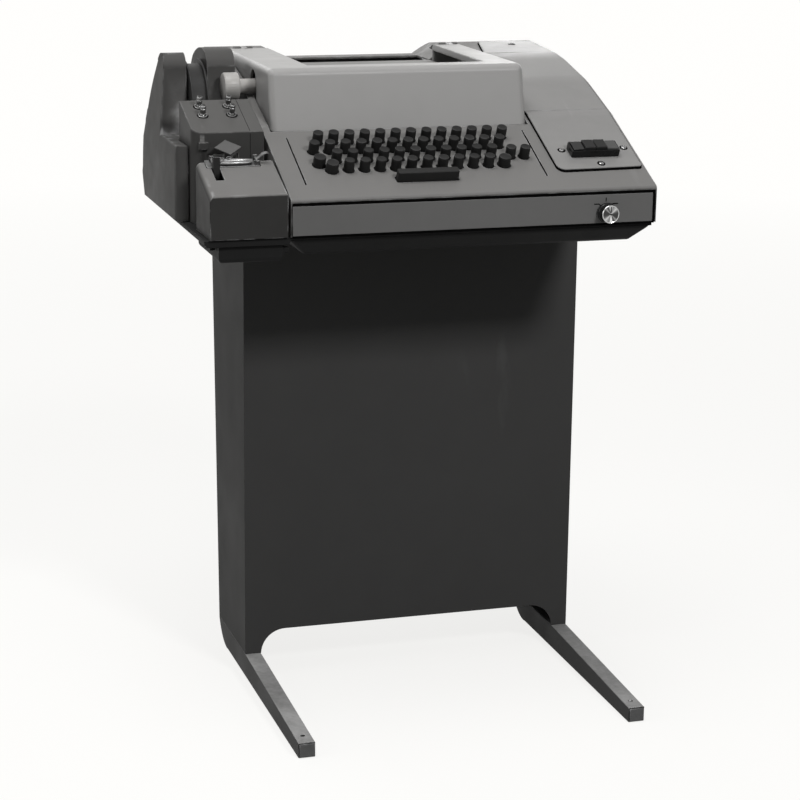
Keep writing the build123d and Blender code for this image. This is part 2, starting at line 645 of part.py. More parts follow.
SWITCH_HALF = 15.0
SWITCH_Y = (6.0, 30.0)
CHASSIS_Z = (629.0, 631.0)
CHASSIS_LEG_R = 4.0
with BuildPart() as call_control_unit:
    switch_x = (MODE_KNOB[0] - SWITCH_HALF, MODE_KNOB[0] + SWITCH_HALF)
    block(*switch_x, *SWITCH_Y, CHASSIS_Z[0], MODE_KNOB[1] + SWITCH_HALF)
    knob_rod(SWITCH_Y[0] - PAST, MODE_SHAFT_END + PAST, MODE_SHAFT_R + RUNNING, Mode.SUBTRACT)
    block(118, 210, SWITCH_Y[1], 190, *CHASSIS_Z)
    block(128, 200, 60, 150, CHASSIS_Z[1], 665)
    for x in (130, 192):
        for y in (44, 180):
            upright(x, y, TABLE_Z + SKIN, CHASSIS_Z[0], CHASSIS_LEG_R)
save(call_control_unit.part, "call_control_unit")

# Keyboard: a plate under the deck guides the stems, and each cap comes up through its own hole.
GUIDE_H = -25.0
GUIDE_AT = (-49.0, 77.0)
GUIDE_SIZE = (290.0, 112.0)
GUIDE_THICK = 2.0
STEM_PLAY = 0.4
STEM_END = -36.0
LEG_X = (-188.0, 90.0)
LEG_Y = (42.0, 112.0)
LEG_R = 4.0
all_small = [place for places in small_keys.values() for place in places]
all_big = [place for places in big_keys.values() for place in places]
BAR_STEMS = [(SPACE_BAR[0] - 28, SPACE_BAR[1]), (SPACE_BAR[0] + 28, SPACE_BAR[1])]
with BuildPart() as keyboard_frame:
    with BuildSketch(deck.offset(GUIDE_H)):
        with Locations(GUIDE_AT):
            Rectangle(*GUIDE_SIZE)
        with Locations(*all_small, *all_big, *BAR_STEMS):
            Circle(STEM_D / 2 + STEM_PLAY, mode=Mode.SUBTRACT)
    extrude(amount=GUIDE_THICK)
    for x in LEG_X:
        for y in LEG_Y:
            plate_z = DECK_EDGE[1] + y * tan(radians(DECK_SLOPE)) + GUIDE_H / cos(radians(DECK_SLOPE))
            upright(x, y, TABLE_Z + SKIN, plate_z + GUIDE_THICK / 2, LEG_R)
save(keyboard_frame.part, "keyboard_frame")


KEY_TAPER = 0.9
DISH_DEEP = 0.9


def make_keys(places, diameter, high, dish):
    """Key caps with hollow tops, tapered a little, each on its stem."""
    with BuildPart() as keys:
        with BuildSketch(deck.offset(-KEY_UNDER)):
            with Locations(*places):
                Circle(diameter / 2)
        extrude(amount=KEY_UNDER + high, taper=KEY_TAPER)
        with BuildSketch(deck.offset(STEM_END)):
            with Locations(*places):
                Circle(STEM_D / 2)
        extrude(amount=-STEM_END - KEY_UNDER)
        with Locations(deck.location):
            with Locations(*[(x, s, high + dish) for x, s in places]):
                Sphere(dish + DISH_DEEP, mode=Mode.SUBTRACT)
    return keys.part


for name, places in small_keys.items():
    save(make_keys(places, KEY_D, KEY_HIGH, SMALL_DISH_R), name)
for name, places in big_keys.items():
    save(make_keys(places, BIG_KEY_D, BIG_KEY_HIGH, BIG_DISH_R), name)

SPACE_HIGH = 12.0
with BuildPart() as space_bar:
    with BuildSketch(deck.offset(-KEY_UNDER)):
        with Locations(SPACE_BAR):
            RectangleRounded(*SPACE_SIZE, SPACE_ROUND)
    extrude(amount=KEY_UNDER + SPACE_HIGH, taper=KEY_TAPER)
    fillet(space_bar.faces().sort_by(Axis.Z)[-1].edges(), 1.2)
    with BuildSketch(deck.offset(STEM_END)):
        with Locations(*BAR_STEMS):
            Circle(STEM_D / 2)
    extrude(amount=-STEM_END - KEY_UNDER)
save(space_bar.part, "space_bar")

# Tape reader: a moulded cover with a lever slot, and a tape plate in a notch at its rear edge.
TAPE_PLATE = (-307.0, -245.0)
TAPE_PLATE_S = (65.0, 82.0)
TAPE_PLATE_THICK = 3.0
TAPE_NOTCH_S = (64.0, 96.0)
LEVER_SLOT = (-303.0, -293.0)
LEVER_SLOT_S = (34.0, 63.0)
READER_RISE = tan(radians(TAPE_SLOPE))
READER_BEVEL = 2.0
READER_ROUND = (7.0, 2.5)  # its left edge and its right edge


def reader_opening(x, s):
    """Cut a rectangle through the reader's sloped top."""
    with BuildSketch(reader_top.offset(-2 * SKIN)) as opening:
        with Locations((sum(x) / 2, sum(s) / 2)):
            Rectangle(x[1] - x[0], s[1] - s[0])
    extrude(opening.sketch, amount=4 * SKIN, mode=Mode.SUBTRACT)


with BuildPart() as reader_room:
    with BuildSketch(side_plane(READER[0] + SKIN)):
        with BuildLine():
            Polyline(
                (SKIN, COVER_LOW - PAST),
                (READER_BACK - SKIN, COVER_LOW - PAST),
                (READER_BACK - SKIN, READER_TOP_Z + (READER_BACK - READER_BEVEL - SKIN) * READER_RISE - SKIN),
                (SKIN, READER_TOP_Z - SKIN),
                close=True,
            )
        make_face()
    extrude(amount=READER[1] - READER[0] - 2 * SKIN)
with BuildPart() as reader_cover:
    with BuildSketch(side_plane(READER[0])):
        with BuildLine():
            Polyline(
                (0, COVER_LOW),
                (READER_BACK, COVER_LOW),
                (READER_BACK, READER_TOP_Z + (READER_BACK - READER_BEVEL) * READER_RISE),
                (READER_BEVEL, READER_TOP_Z),
                (0, READER_TOP_Z - READER_BEVEL),
                close=True,
            )
        make_face()
    extrude(amount=READER[1] - READER[0])
    top_rim = reader_cover.faces().sort_by(Axis.Z)[-1].edges()
    fillet(top_rim.sort_by(Axis.X)[0], READER_ROUND[0])
    top_rim = reader_cover.faces().filter_by(lambda f: f.normal_at().Z > 0.9).sort_by(SortBy.AREA)[-1].edges()
    fillet(top_rim.sort_by(Axis.X)[-1], READER_ROUND[1])
    add(reader_room.part, mode=Mode.SUBTRACT)
    reader_opening((TAPE_PLATE[0] - SLIDING_GAP, TAPE_PLATE[1] + SLIDING_GAP), TAPE_NOTCH_S)
    reader_opening(LEVER_SLOT, LEVER_SLOT_S)
save(reader_cover.part, "reader_cover")

LEVER_AT = (57.0, 668.0)
LEVER_X = (-302.0, -294.0)
LEVER_Y = (53.5, 59.0)
LEVER_TOP = 713.0
LEVER_PIN_R = 3.0
LEVER_PIN_X = (-309.5, -286.5)
TAPE_PIN_R = 1.8
TAPE_PIN_LONG = 15.4
TAPE_PIN_H = 3.4
TAPE_LINE_S = 73.5  # the tape's middle, up the slope
LID_PIN_X = -299.5
LATCH_PIN_X = -248.0
EAR_S = (66.5, 80.5)
EAR_SIZE = (5.0, 2.0)
READER_BASE_Z = (PAN_TOP, 634.0)
READER_HEAD_X = (-284.0, -250.0)
with BuildPart() as reader_block:
    block(-312, -240, 16, 68, *READER_BASE_Z)
    # The reading head stands on the base and carries the tape plate.
    block(*READER_HEAD_X, 40, 70, READER_BASE_Z[1], 684)
    block(*READER_HEAD_X, 65, 70, 684, 698)
    # Two cheeks hold the lever's pin.
    for x in (-309, -290):
        block(x, x + 3, 50, 64, READER_BASE_Z[1], 674)
    rod(LEVER_PIN_X[0] - PAST, LEVER_PIN_X[1] + PAST, *LEVER_AT, LEVER_PIN_R + RUNNING, Mode.SUBTRACT)
    with BuildSketch(reader_top.offset(-TAPE_PLATE_THICK)):
        with Locations((sum(TAPE_PLATE) / 2, sum(TAPE_PLATE_S) / 2)):
            Rectangle(TAPE_PLATE[1] - TAPE_PLATE[0], TAPE_PLATE_S[1] - TAPE_PLATE_S[0])
    extrude(amount=TAPE_PLATE_THICK)
    # Ears for the pins of the tape lid and its latch.
    with BuildSketch(reader_top):
        with Locations(*[(x, s) for x in (LID_PIN_X, LATCH_PIN_X) for s in EAR_S]):
            Rectangle(*EAR_SIZE)
    extrude(amount=TAPE_PIN_H + TAPE_PIN_R + 0.8)
    with Locations(reader_top.location):
        with Locations(*[(x, TAPE_LINE_S, TAPE_PIN_H) for x in (LID_PIN_X, LATCH_PIN_X)]):
            Cylinder(TAPE_PIN_R + RUNNING, TAPE_PIN_LONG + 4, rotation=(90, 0, 0), mode=Mode.SUBTRACT)
save(reader_block.part, "reader_block")

with BuildPart() as reader_lever:
    rod(*LEVER_PIN_X, *LEVER_AT, LEVER_PIN_R)
    block(*LEVER_X, *LEVER_Y, LEVER_AT[1], LEVER_TOP)
    fillet(reader_lever.faces().sort_by(Axis.Z)[-1].edges(), 1)
save(reader_lever.part, "reader_lever")

TAPE_LID_AT = (-275.0, TAPE_LINE_S)
TAPE_LID_R = (22.5, 7.0)
TAPE_LID_H = (0.7, 5.2)
with BuildPart() as reader_tape_lid:
    with BuildSketch(reader_top.offset(TAPE_LID_H[0])):
        with Locations(TAPE_LID_AT):
            Ellipse(*TAPE_LID_R)
    extrude(amount=TAPE_LID_H[1] - TAPE_LID_H[0])
    fillet(reader_tape_lid.faces().filter_by(lambda f: f.normal_at().Z > 0.9).edges(), 1.2)
    with Locations(reader_top.location):
        with Locations((LID_PIN_X, TAPE_LINE_S, TAPE_PIN_H)):
            Cylinder(TAPE_PIN_R, TAPE_PIN_LONG, rotation=(90, 0, 0))
        with Locations((LID_PIN_X + 3.5, TAPE_LINE_S, TAPE_PIN_H - 0.6)):
            Box(7, 7, 2)
save(reader_tape_lid.part, "reader_tape_lid")

LATCH_TIP = Location((LATCH_PIN_X + 6.5, TAPE_LINE_S, TAPE_PIN_H + 3.5), (0, -28, 0))
with BuildPart() as reader_lid_latch:
    with Locations(reader_top.location):
        with Locations((LATCH_PIN_X, TAPE_LINE_S, TAPE_PIN_H)):
            Cylinder(TAPE_PIN_R, TAPE_PIN_LONG, rotation=(90, 0, 0))
        with Locations(LATCH_TIP):
            Box(15, 5, 1.6)
save(reader_lid_latch.part, "reader_lid_latch")

# Tape punch: its cover carries four push buttons, and the tape comes out of its front.
TAPE_SLOT_X = (-290.0, -260.0)
TAPE_SLOT_Z = (698.0, 708.0)
PUNCH_RISE = tan(radians(TAPE_SLOPE))
PUNCH_CORNER_R = 14.0
PUNCH_RIM_R = 1.6
PUNCH_TAB = (-307.0, -296.0, 104.0, 110.0, 714.0, 722.0)
with BuildPart() as punch_room:
    with BuildSketch(side_plane(PUNCH[0] + SKIN)):
        with BuildLine():
            Polyline(
                (PUNCH_Y[0] + SKIN, COVER_LOW - PAST),
                (PUNCH_Y[1] - SKIN, COVER_LOW - PAST),
                (PUNCH_Y[1] - SKIN, PUNCH_TOP_Z + (PUNCH_Y[1] - PUNCH_Y[0] - SKIN) * PUNCH_RISE - SKIN),
                (PUNCH_Y[0] + SKIN, PUNCH_TOP_Z - SKIN),
                close=True,
            )
        make_face()
    extrude(amount=PUNCH[1] - PUNCH[0] - 2 * SKIN)
    fillet(front_left_edge(punch_room), PUNCH_CORNER_R - SKIN)
with BuildPart() as punch_cover:
    with BuildSketch(side_plane(PUNCH[0])):
        with BuildLine():
            Polyline(
                (PUNCH_Y[0], COVER_LOW),
                (PUNCH_Y[1], COVER_LOW),
                (PUNCH_Y[1], PUNCH_TOP_Z + (PUNCH_Y[1] - PUNCH_Y[0]) * PUNCH_RISE),
                (PUNCH_Y[0], PUNCH_TOP_Z),
                close=True,
            )
        make_face()
    extrude(amount=PUNCH[1] - PUNCH[0])
    fillet(front_left_edge(punch_cover), PUNCH_CORNER_R)
    fillet(punch_cover.faces().filter_by(lambda f: f.normal_at().Z > 0.9).edges(), PUNCH_RIM_R)
    add(punch_room.part, mode=Mode.SUBTRACT)
    block(*TAPE_SLOT_X, PUNCH_Y[0] - PAST, PUNCH_Y[0] + SKIN + PAST, *TAPE_SLOT_Z, Mode.SUBTRACT)
    with Locations(punch_top.location):
        with Locations(*[(x, s, 0) for x, s in PUNCH_BUTTONS.values()]):
            Cylinder(BUTTON_BORE_R, 6 * SKIN, mode=Mode.SUBTRACT)
    block(*PUNCH_TAB)
save(punch_cover.part, "punch_cover")

BUTTON_STEM_R = 1.8
BUTTON_GUIDE = -13.0
BUTTON_WAIST_H = (10.0, 12.0)  # above the punch's top, a waist below the button's head
BUTTON_TOP = 14.0
BUTTON_LOW = -4.0
BUTTON_STEM_LOW = -18.0


def button_pin(x, s, h0, h1, radius):
    """A cylinder square to the punch's top, between two heights over it."""
    with Locations(punch_top.location):
        with Locations((x, s, (h0 + h1) / 2)):
            Cylinder(radius, h1 - h0)


for name, (x, s) in PUNCH_BUTTONS.items():
    with BuildPart() as button:
        button_pin(x, s, BUTTON_LOW, BUTTON_WAIST_H[0], BUTTON_R)
        with Locations(punch_top.location):
            with Locations((x, s, sum(BUTTON_WAIST_H) / 2)):
                Cone(BUTTON_R - 1.2, BUTTON_R, BUTTON_WAIST_H[1] - BUTTON_WAIST_H[0])
        button_pin(x, s, BUTTON_WAIST_H[1], BUTTON_TOP, BUTTON_R)
        button_pin(x, s, BUTTON_STEM_LOW, BUTTON_LOW, BUTTON_STEM_R)
    save(button.part, name)

PUNCH_BASE_TOP = 636.0
PUNCH_BODY_TOP = 690.0
TAPE_GAP_Z = (700.0, 704.0)
BUTTON_POST_TOP = 734.5
with BuildPart() as punch_block:
    block(-306, -237, 120, 178, PAN_TOP, PUNCH_BASE_TOP)
    block(-300, -243, 125, 172, PUNCH_BASE_TOP, PUNCH_BODY_TOP)
    # The die, whose gap lets the tape through.
    block(-292, -256, 116, 130, PUNCH_BODY_TOP - 10, 712)
    block(-290.5, -259.5, 114, 126, *TAPE_GAP_Z, Mode.SUBTRACT)
    # A plate guides the buttons' stems, on one post at each end.
    with BuildSketch(punch_top.offset(BUTTON_GUIDE)):
        with Locations((-276, 52)):
            Rectangle(60, 40)
        with Locations(*PUNCH_BUTTONS.values()):
            Circle(BUTTON_STEM_R + STEM_PLAY, mode=Mode.SUBTRACT)
    extrude(amount=GUIDE_THICK)
    block(-304, -300, 146, 152, PUNCH_BASE_TOP, BUTTON_POST_TOP)
    block(-252, -248, 146, 152, PUNCH_BODY_TOP, BUTTON_POST_TOP)
save(punch_block.part, "punch_block")

TEAR_AT = (-275.8, 93.5, 718.0)
TEAR_SIDE = 22.5
TEAR_THICK = 1.2
TEAR_STEM = (-280.0, -270.0)
with BuildPart() as tape_tear_guide:
    with BuildSketch(sloped_plane(TEAR_AT[1], TEAR_AT[2], TAPE_SLOPE + 3)):
        with Locations((TEAR_AT[0], 0)):
            Rectangle(TEAR_SIDE, TEAR_SIDE, rotation=45)
    extrude(amount=-TEAR_THICK)
    # Its stem runs in through the tape slot and is bent up to the plate.
    block(*TEAR_STEM, 92, PUNCH_Y[0] + 2 * SKIN, 701, 702.4)
    block(*TEAR_STEM, 92, 94, 701, TEAR_AT[2] - 0.5)
save(tape_tear_guide.part, "tape_tear_guide")

# Tape well: one moulding with a fin on the left, an arch on the right and the reel between them.
FIN_INNER = -295.0
ARCH = (-268.0, -233.0)
WELL_BACK = 338.0
WELL_FRONT = 190.0
WELL_FLOOR = 676.0
WELL_BACK_TOP = 740.0
FIN_ROOM_X = TAPE_LEFT + 13
FIN_LEGS = (232.0, 330.0)
FIN_ROOM_LEGS = (235.0, 327.0)
FIN_HIGH = 830.0
FIN_LEFT = [(TAPE_LEFT, COVER_LOW), (TAPE_LEFT, 700.0), (-327.0, 728.0), (-323.0, 800.0), (-321.0, FIN_HIGH)]
SIDE_BOX = (128.0, 234.0)  # the low box in front of the fin, and its top
SIDE_BOX_TOP = 715.0
SIDE_BOX_X = TAPE_LEFT + 15
SIDE_BOX_ROUND = 12.0
REEL_PIN_R = 4.0
FIN_TOP = [(232, 793), (238, 806), (249, 811), (272, 797), (297, 770), (322, 731), (338, 681), (341, 650)]
FIN_ROOM = [(235, 789), (242, 802), (250, 806), (270, 793), (294, 766), (318, 728), (334, 680), (336, 650)]
ARCH_TOP_LINE = [(239, 794), (250, 808.5), (273, 814), (302, 809), (322, 800), (336, 784), (338, 770)]
ARCH_ROOM = [(242, 790), (252, 804), (273, 810), (300, 805.5), (319, 797), (332, 783), (335, 770)]


def standing_profile(x, points, low, foot_front, foot_back):
    """Side profile with a curved top over two straight legs."""
    with BuildSketch(side_plane(x)) as outline:
        with BuildLine():
            Spline(*points)
            Polyline(points[-1], (foot_back, low), (foot_front, low), points[0])
        make_face()
    return outline.sketch


with BuildPart() as fin_plan:
    with BuildSketch(Plane.XZ.offset(-back(SIDE_BOX[0] - SKIN))):
        with BuildLine():
            Polyline(
                *[(across(x), z) for x, z in FIN_LEFT],
                (across(FIN_INNER), FIN_HIGH),
                (across(FIN_INNER), COVER_LOW),
                close=True,
            )
        make_face()
    extrude(amount=-WELL_BACK)
    block(
        SIDE_BOX_X,
        FIN_INNER + PAST,
        SIDE_BOX[0] - 2 * SKIN,
        WELL_FRONT,
        COVER_LOW - PAST,
        FIN_HIGH + PAST,
        Mode.SUBTRACT,
    )
with BuildPart() as tape_well_cover:
    extrude(standing_profile(TAPE_LEFT, FIN_TOP, COVER_LOW, *FIN_LEGS), amount=FIN_INNER - TAPE_LEFT)
    block(TAPE_LEFT, FIN_INNER, *SIDE_BOX, COVER_LOW, SIDE_BOX_TOP)
    fillet(front_left_edge(tape_well_cover), SIDE_BOX_ROUND)
    add(fin_plan.part, mode=Mode.INTERSECT)
    extrude(standing_profile(ARCH[0], ARCH_TOP_LINE, COVER_LOW, 239, WELL_BACK), amount=ARCH[1] - ARCH[0])
    block(FIN_INNER - 1, ARCH[1], WELL_FRONT, WELL_BACK, COVER_LOW, WELL_FLOOR)
    block(FIN_INNER - 1, ARCH[0] + 1, WELL_BACK - SKIN, WELL_BACK, WELL_FLOOR, WELL_BACK_TOP)
    # Its rooms: inside the fin, inside the arch, under the floor and in the low box.
    extrude(
        standing_profile(FIN_ROOM_X, FIN_ROOM, COVER_LOW - PAST, *FIN_ROOM_LEGS),
        amount=FIN_INNER - SKIN - FIN_ROOM_X,
        mode=Mode.SUBTRACT,
    )
    extrude(
        standing_profile(ARCH[0] + SKIN, ARCH_ROOM, COVER_LOW - PAST, 242, WELL_BACK - SKIN),
        amount=ARCH[1] - ARCH[0] - 2 * SKIN,
        mode=Mode.SUBTRACT,
    )
    block(
        TAPE_LEFT + SKIN,
        ARCH[1] - SKIN,
        WELL_FRONT + SKIN,
        FIN_ROOM_LEGS[1],
        COVER_LOW - PAST,
        WELL_FLOOR - SKIN,
        Mode.SUBTRACT,
    )
    block(TAPE_LEFT + SKIN, SIDE_BOX_X - SKIN, 141, 200, COVER_LOW - PAST, 697, Mode.SUBTRACT)
    rod(FIN_INNER - 2, ARCH[0] + 2, *REEL_AT, REEL_PIN_R)
save(tape_well_cover.part, "tape_well_cover")

REEL_FLANGE = 2.0
TAPE_ON_REEL_R = 54.0
with BuildPart() as tape_reel:
    rod(REEL_X[0], REEL_X[0] + REEL_FLANGE, *REEL_AT, REEL_R)
    rod(REEL_X[1] - REEL_FLANGE, REEL_X[1], *REEL_AT, REEL_R)
    rod(*REEL_X, *REEL_AT, TAPE_ON_REEL_R)
    rod(REEL_X[0] - PAST, REEL_X[1] + PAST, *REEL_AT, REEL_PIN_R + RUNNING, Mode.SUBTRACT)
save(tape_reel.part, "tape_reel")

# Printing mechanism on its own frame under the lid.
FRAME_X = (-190.0, 86.0)
PLATE = 4.0
FRAME_FLOOR = 640.0
RAIL_Y = (168.0, 190.0)
RAIL_Z = 712.0
RAIL_R = 4.0
MAIN_SHAFT = (260.0, 672.0)
MAIN_SHAFT_R = 6.0
MOTOR = (350.0, 684.0)
SPOOL_X = (-162.0, 62.0)
SPOOL_Y = 180.0
ARM_Z = 770.0
SPINDLE = (400.0, 770.0)
SPINDLE_R = 4.0
SPINDLE_X = (-116.0, 60.0)
PIN_R = 3.0
PIN_TOP = ARM_Z + 18
ARM_HALF = 12.0
FRAME_Y = (155.0, 385.0)
FRAME_SIDE = [  # outline of a side plate, from its front foot
    (FRAME_Y[0], FRAME_FLOOR),
    (FRAME_Y[0], 755.0),
    (165.0, ARM_Z + PLATE),
    (205.0, ARM_Z + PLATE),
    (205.0, PLATEN_Z + PLATEN_R),
    (245.0, PLATEN_Z + PLATEN_R),
    (262.0, 705.0),
    (FRAME_Y[1], 705.0),
    (FRAME_Y[1], FRAME_FLOOR),
]
MOTOR_R = 32.0
MOTOR_SHAFT_R = 4.0
CRADLE = (0.0, 50.0)
CRADLE_HALF = 22.0
CRADLE_TOP = MOTOR[1] - 25
SPINDLE_TOP = SPINDLE[1] + 9
with BuildPart() as printer_frame:
    block(FRAME_X[0], FRAME_X[1] + PLATE, FRAME_Y[0], SPINDLE[0] + ARM_HALF, FRAME_FLOOR, FRAME_FLOOR + SKIN)
    for x in FRAME_X:
        with BuildSketch(side_plane(x)):
            with BuildLine():
                Polyline(*FRAME_SIDE, close=True)
            make_face()
        extrude(amount=PLATE)
    # Arms for the two ribbon spools, each with its pin.
    arm_y = (SPOOL_Y - ARM_HALF, SPOOL_Y + ARM_HALF)
    block(FRAME_X[0], SPOOL_X[0] + ARM_HALF, *arm_y, ARM_Z, ARM_Z + PLATE)
    block(SPOOL_X[1] - ARM_HALF, FRAME_X[1] + PLATE, *arm_y, ARM_Z, ARM_Z + PLATE)
    for x in SPOOL_X:
        upright(x, SPOOL_Y, ARM_Z, PIN_TOP, PIN_R)
    # Uprights that carry the paper spindle in the well.
    for x in SPINDLE_X:
        block(x - PLATE / 2, x + PLATE / 2, SPINDLE[0] - 10, SPINDLE[0] + 10, FRAME_FLOOR, SPINDLE_TOP)
    # Four legs onto the pan, and the motor's cradle.
    for x in (FRAME_X[0] + ARM_HALF, FRAME_X[1] - ARM_HALF):
        for y in (FRAME_Y[0] + 15, FRAME_Y[1] - 10):
            upright(x, y, TABLE_Z + SKIN, FRAME_FLOOR, 6)
    block(*CRADLE, MOTOR[0] - CRADLE_HALF, MOTOR[0] + CRADLE_HALF, FRAME_FLOOR, CRADLE_TOP)
    rod(CRADLE[0] - PAST, CRADLE[1] + PAST, *MOTOR, MOTOR_R, Mode.SUBTRACT)
    bores = (FRAME_X[0] - PAST, FRAME_X[1] + PLATE + PAST)
    rod(*bores, PLATEN_Y, PLATEN_Z, PLATEN_SHAFT_R + RUNNING, Mode.SUBTRACT)
    rod(*bores, *MAIN_SHAFT, MAIN_SHAFT_R + RUNNING, Mode.SUBTRACT)
    rod(SPINDLE_X[0] - PLATE, SPINDLE_X[1] + PLATE, *SPINDLE, SPINDLE_R + RUNNING, Mode.SUBTRACT)
save(printer_frame.part, "printer_frame")

PLATEN_X = (-180.0, 80.0)
PLATEN_SHAFT_X = (-215.0, 93.0)
with BuildPart() as platen:
    rod(*PLATEN_X, PLATEN_Y, PLATEN_Z, PLATEN_R)
    rod(*PLATEN_SHAFT_X, PLATEN_Y, PLATEN_Z, PLATEN_SHAFT_R)
save(platen.part, "platen")

with BuildPart() as platen_knob:
    rod(KNOB_SPAN[1] - 1, KNOB_STEM_END, PLATEN_Y, PLATEN_Z, KNOB_STEM_R)
    rod(*KNOB_SPAN, PLATEN_Y, PLATEN_Z, KNOB_R)
    fillet(platen_knob.faces().sort_by(Axis.X)[0].edges(), 3)
    socket = (PLATEN_SHAFT_X[0] - PAST, KNOB_STEM_END + PAST)
    rod(*socket, PLATEN_Y, PLATEN_Z, PLATEN_SHAFT_R + KNOB_FIT, Mode.SUBTRACT)
save(platen_knob.part, "platen_knob")

with BuildPart() as carriage_rails:
    for y in RAIL_Y:
        rod(FRAME_X[0] + PLATE, FRAME_X[1], y, RAIL_Z, RAIL_R)
save(carriage_rails.part, "carriage_rails")

CARRIAGE_X = (-173.0, -127.0)
CARRIAGE_Y = (158.0, 200.0)
CARRIAGE_Z = (700.0, 745.0)
WHEEL_AT = (-150.0, 188.0)
WHEEL_Z = (748.0, 767.0)
WHEEL_R = 12.0
WHEEL_HUB_R = 5.0
with BuildPart() as carriage:
    block(*CARRIAGE_X, *CARRIAGE_Y, *CARRIAGE_Z)
    for y in RAIL_Y:
        rod(CARRIAGE_X[0] - PAST, CARRIAGE_X[1] + PAST, y, RAIL_Z, RAIL_R + RUNNING, Mode.SUBTRACT)
    upright(*WHEEL_AT, CARRIAGE_Z[1] - 1, WHEEL_Z[1] + 1.5, PIN_R)
save(carriage.part, "carriage")

with BuildPart() as type_wheel:
    upright(*WHEEL_AT, *WHEEL_Z, WHEEL_R)
    upright(*WHEEL_AT, CARRIAGE_Z[1] + 1, WHEEL_Z[0] + 1, WHEEL_HUB_R)
    upright(*WHEEL_AT, CARRIAGE_Z[1], WHEEL_Z[1] + PAST, PIN_R + RUNNING, Mode.SUBTRACT)
save(type_wheel.part, "type_wheel")

SPOOL_Z = (ARM_Z + PLATE + 1, ARM_Z + PLATE + 12)
SPOOL_FLANGE_R = 22.0
RIBBON_R = 14.0
for name, x in (("left_ribbon_spool", SPOOL_X[0]), ("right_ribbon_spool", SPOOL_X[1])):
    with BuildPart() as spool:
        upright(x, SPOOL_Y, SPOOL_Z[0], SPOOL_Z[0] + 1, SPOOL_FLANGE_R)
        upright(x, SPOOL_Y, *SPOOL_Z, RIBBON_R)
        upright(x, SPOOL_Y, SPOOL_Z[1] - 1, SPOOL_Z[1], SPOOL_FLANGE_R)
        upright(x, SPOOL_Y, SPOOL_Z[0] - PAST, SPOOL_Z[1] + PAST, PIN_R + RUNNING, Mode.SUBTRACT)
    save(spool.part, name)

MOTOR_X = (-20.0, 70.0)
MOTOR_NOSE = (-26.0, 14.0)  # end and radius of its bearing boss
MOTOR_SHAFT_END = 58.0
with BuildPart() as motor:
    rod(*MOTOR_X, *MOTOR, MOTOR_R)
    rod(MOTOR_NOSE[0], MOTOR_X[0], *MOTOR, MOTOR_NOSE[1])
    rod(MOTOR_NOSE[0] - PAST, MOTOR_SHAFT_END + 2, *MOTOR, MOTOR_SHAFT_R + RUNNING, Mode.SUBTRACT)
save(motor.part, "motor")

PULLEY_X = (-45.0, -33.0)
PULLEY_R = (10.0, 24.0)
with BuildPart() as motor_shaft:
    rod(PULLEY_X[0], MOTOR_SHAFT_END, *MOTOR, MOTOR_SHAFT_R)
    rod(*PULLEY_X, *MOTOR, PULLEY_R[0])
save(motor_shaft.part, "motor_shaft")

CAM_X = (-150.0, -110.0, 10.0, 50.0)
CAM_WIDE = 10.0
CAM_R = 15.0
with BuildPart() as main_shaft:
    rod(FRAME_X[0] - PLATE, FRAME_X[1] + 2 * PLATE, *MAIN_SHAFT, MAIN_SHAFT_R)
    rod(*PULLEY_X, *MAIN_SHAFT, PULLEY_R[1])
    for x in CAM_X:
        rod(x, x + CAM_WIDE, *MAIN_SHAFT, CAM_R)
save(main_shaft.part, "main_shaft")


def belt_sketch(x, extra):
    """Outline that runs round both pulleys, a little outside of them."""
    with BuildSketch(side_plane(x)) as outline:
        with Locations(MOTOR):
            Circle(PULLEY_R[0] + extra)
        with Locations(MAIN_SHAFT):
            Circle(PULLEY_R[1] + extra)
        make_hull()
    return outline.sketch


BELT_OFF = (0.35, 2.35)  # its inner and outer faces over the pulleys
BELT_WIDE = 8.0
with BuildPart() as drive_belt:
    belt_x = sum(PULLEY_X) / 2 - BELT_WIDE / 2
    extrude(belt_sketch(belt_x, BELT_OFF[1]), amount=BELT_WIDE)
    extrude(belt_sketch(belt_x, BELT_OFF[0]), amount=BELT_WIDE, mode=Mode.SUBTRACT)
save(drive_belt.part, "drive_belt")

COLLAR_WIDE = 6.0
COLLAR_R = 6.5
with BuildPart() as paper_spindle:
    rod(SPINDLE_X[0] - 1, SPINDLE_X[1] + 1, *SPINDLE, SPINDLE_R)
    for x in (SPINDLE_X[0] + COLLAR_WIDE, SPINDLE_X[1] - 2 * COLLAR_WIDE):
        rod(x, x + COLLAR_WIDE, *SPINDLE, COLLAR_R)
save(paper_spindle.part, "paper_spindle")

# Fasteners, and the gland that leads the cord down into the stand.
def plate_screws(places):
    """Screws whose heads rest on the plate, at places across and up its slope."""
    with Locations(*[(x, s, HEAD_OVER_PLATE + SCREW_HEAD_HIGH / 2) for x, s in places]):
        Cylinder(SCREW_HEAD_R, SCREW_HEAD_HIGH)
    with Locations(*[(x, s, 0.1 - SCREW_LONG / 2) for x, s in places]):
        Cylinder(SCREW_R, SCREW_LONG)


with BuildPart() as fixing_screws:
    with Locations(deck.offset(PANEL_RAISE).location):
        plate_screws(PANEL_SCREWS)
    with Locations(rear_top.offset(PANEL_RAISE).location):
        plate_screws([(REAR_SCREW[0], REAR_SCREW[1] - REAR_TOP_AT)])
    for x in (-COLUMN_X + FOOT_W / 2, COLUMN_X - FOOT_W / 2):
        upright(x, FOOT_HOLE_Y, FOOT_HOLE_Z[0], FOOT_NOSE - 2, SCREW_R)
save(fixing_screws.part, "fixing_screws")

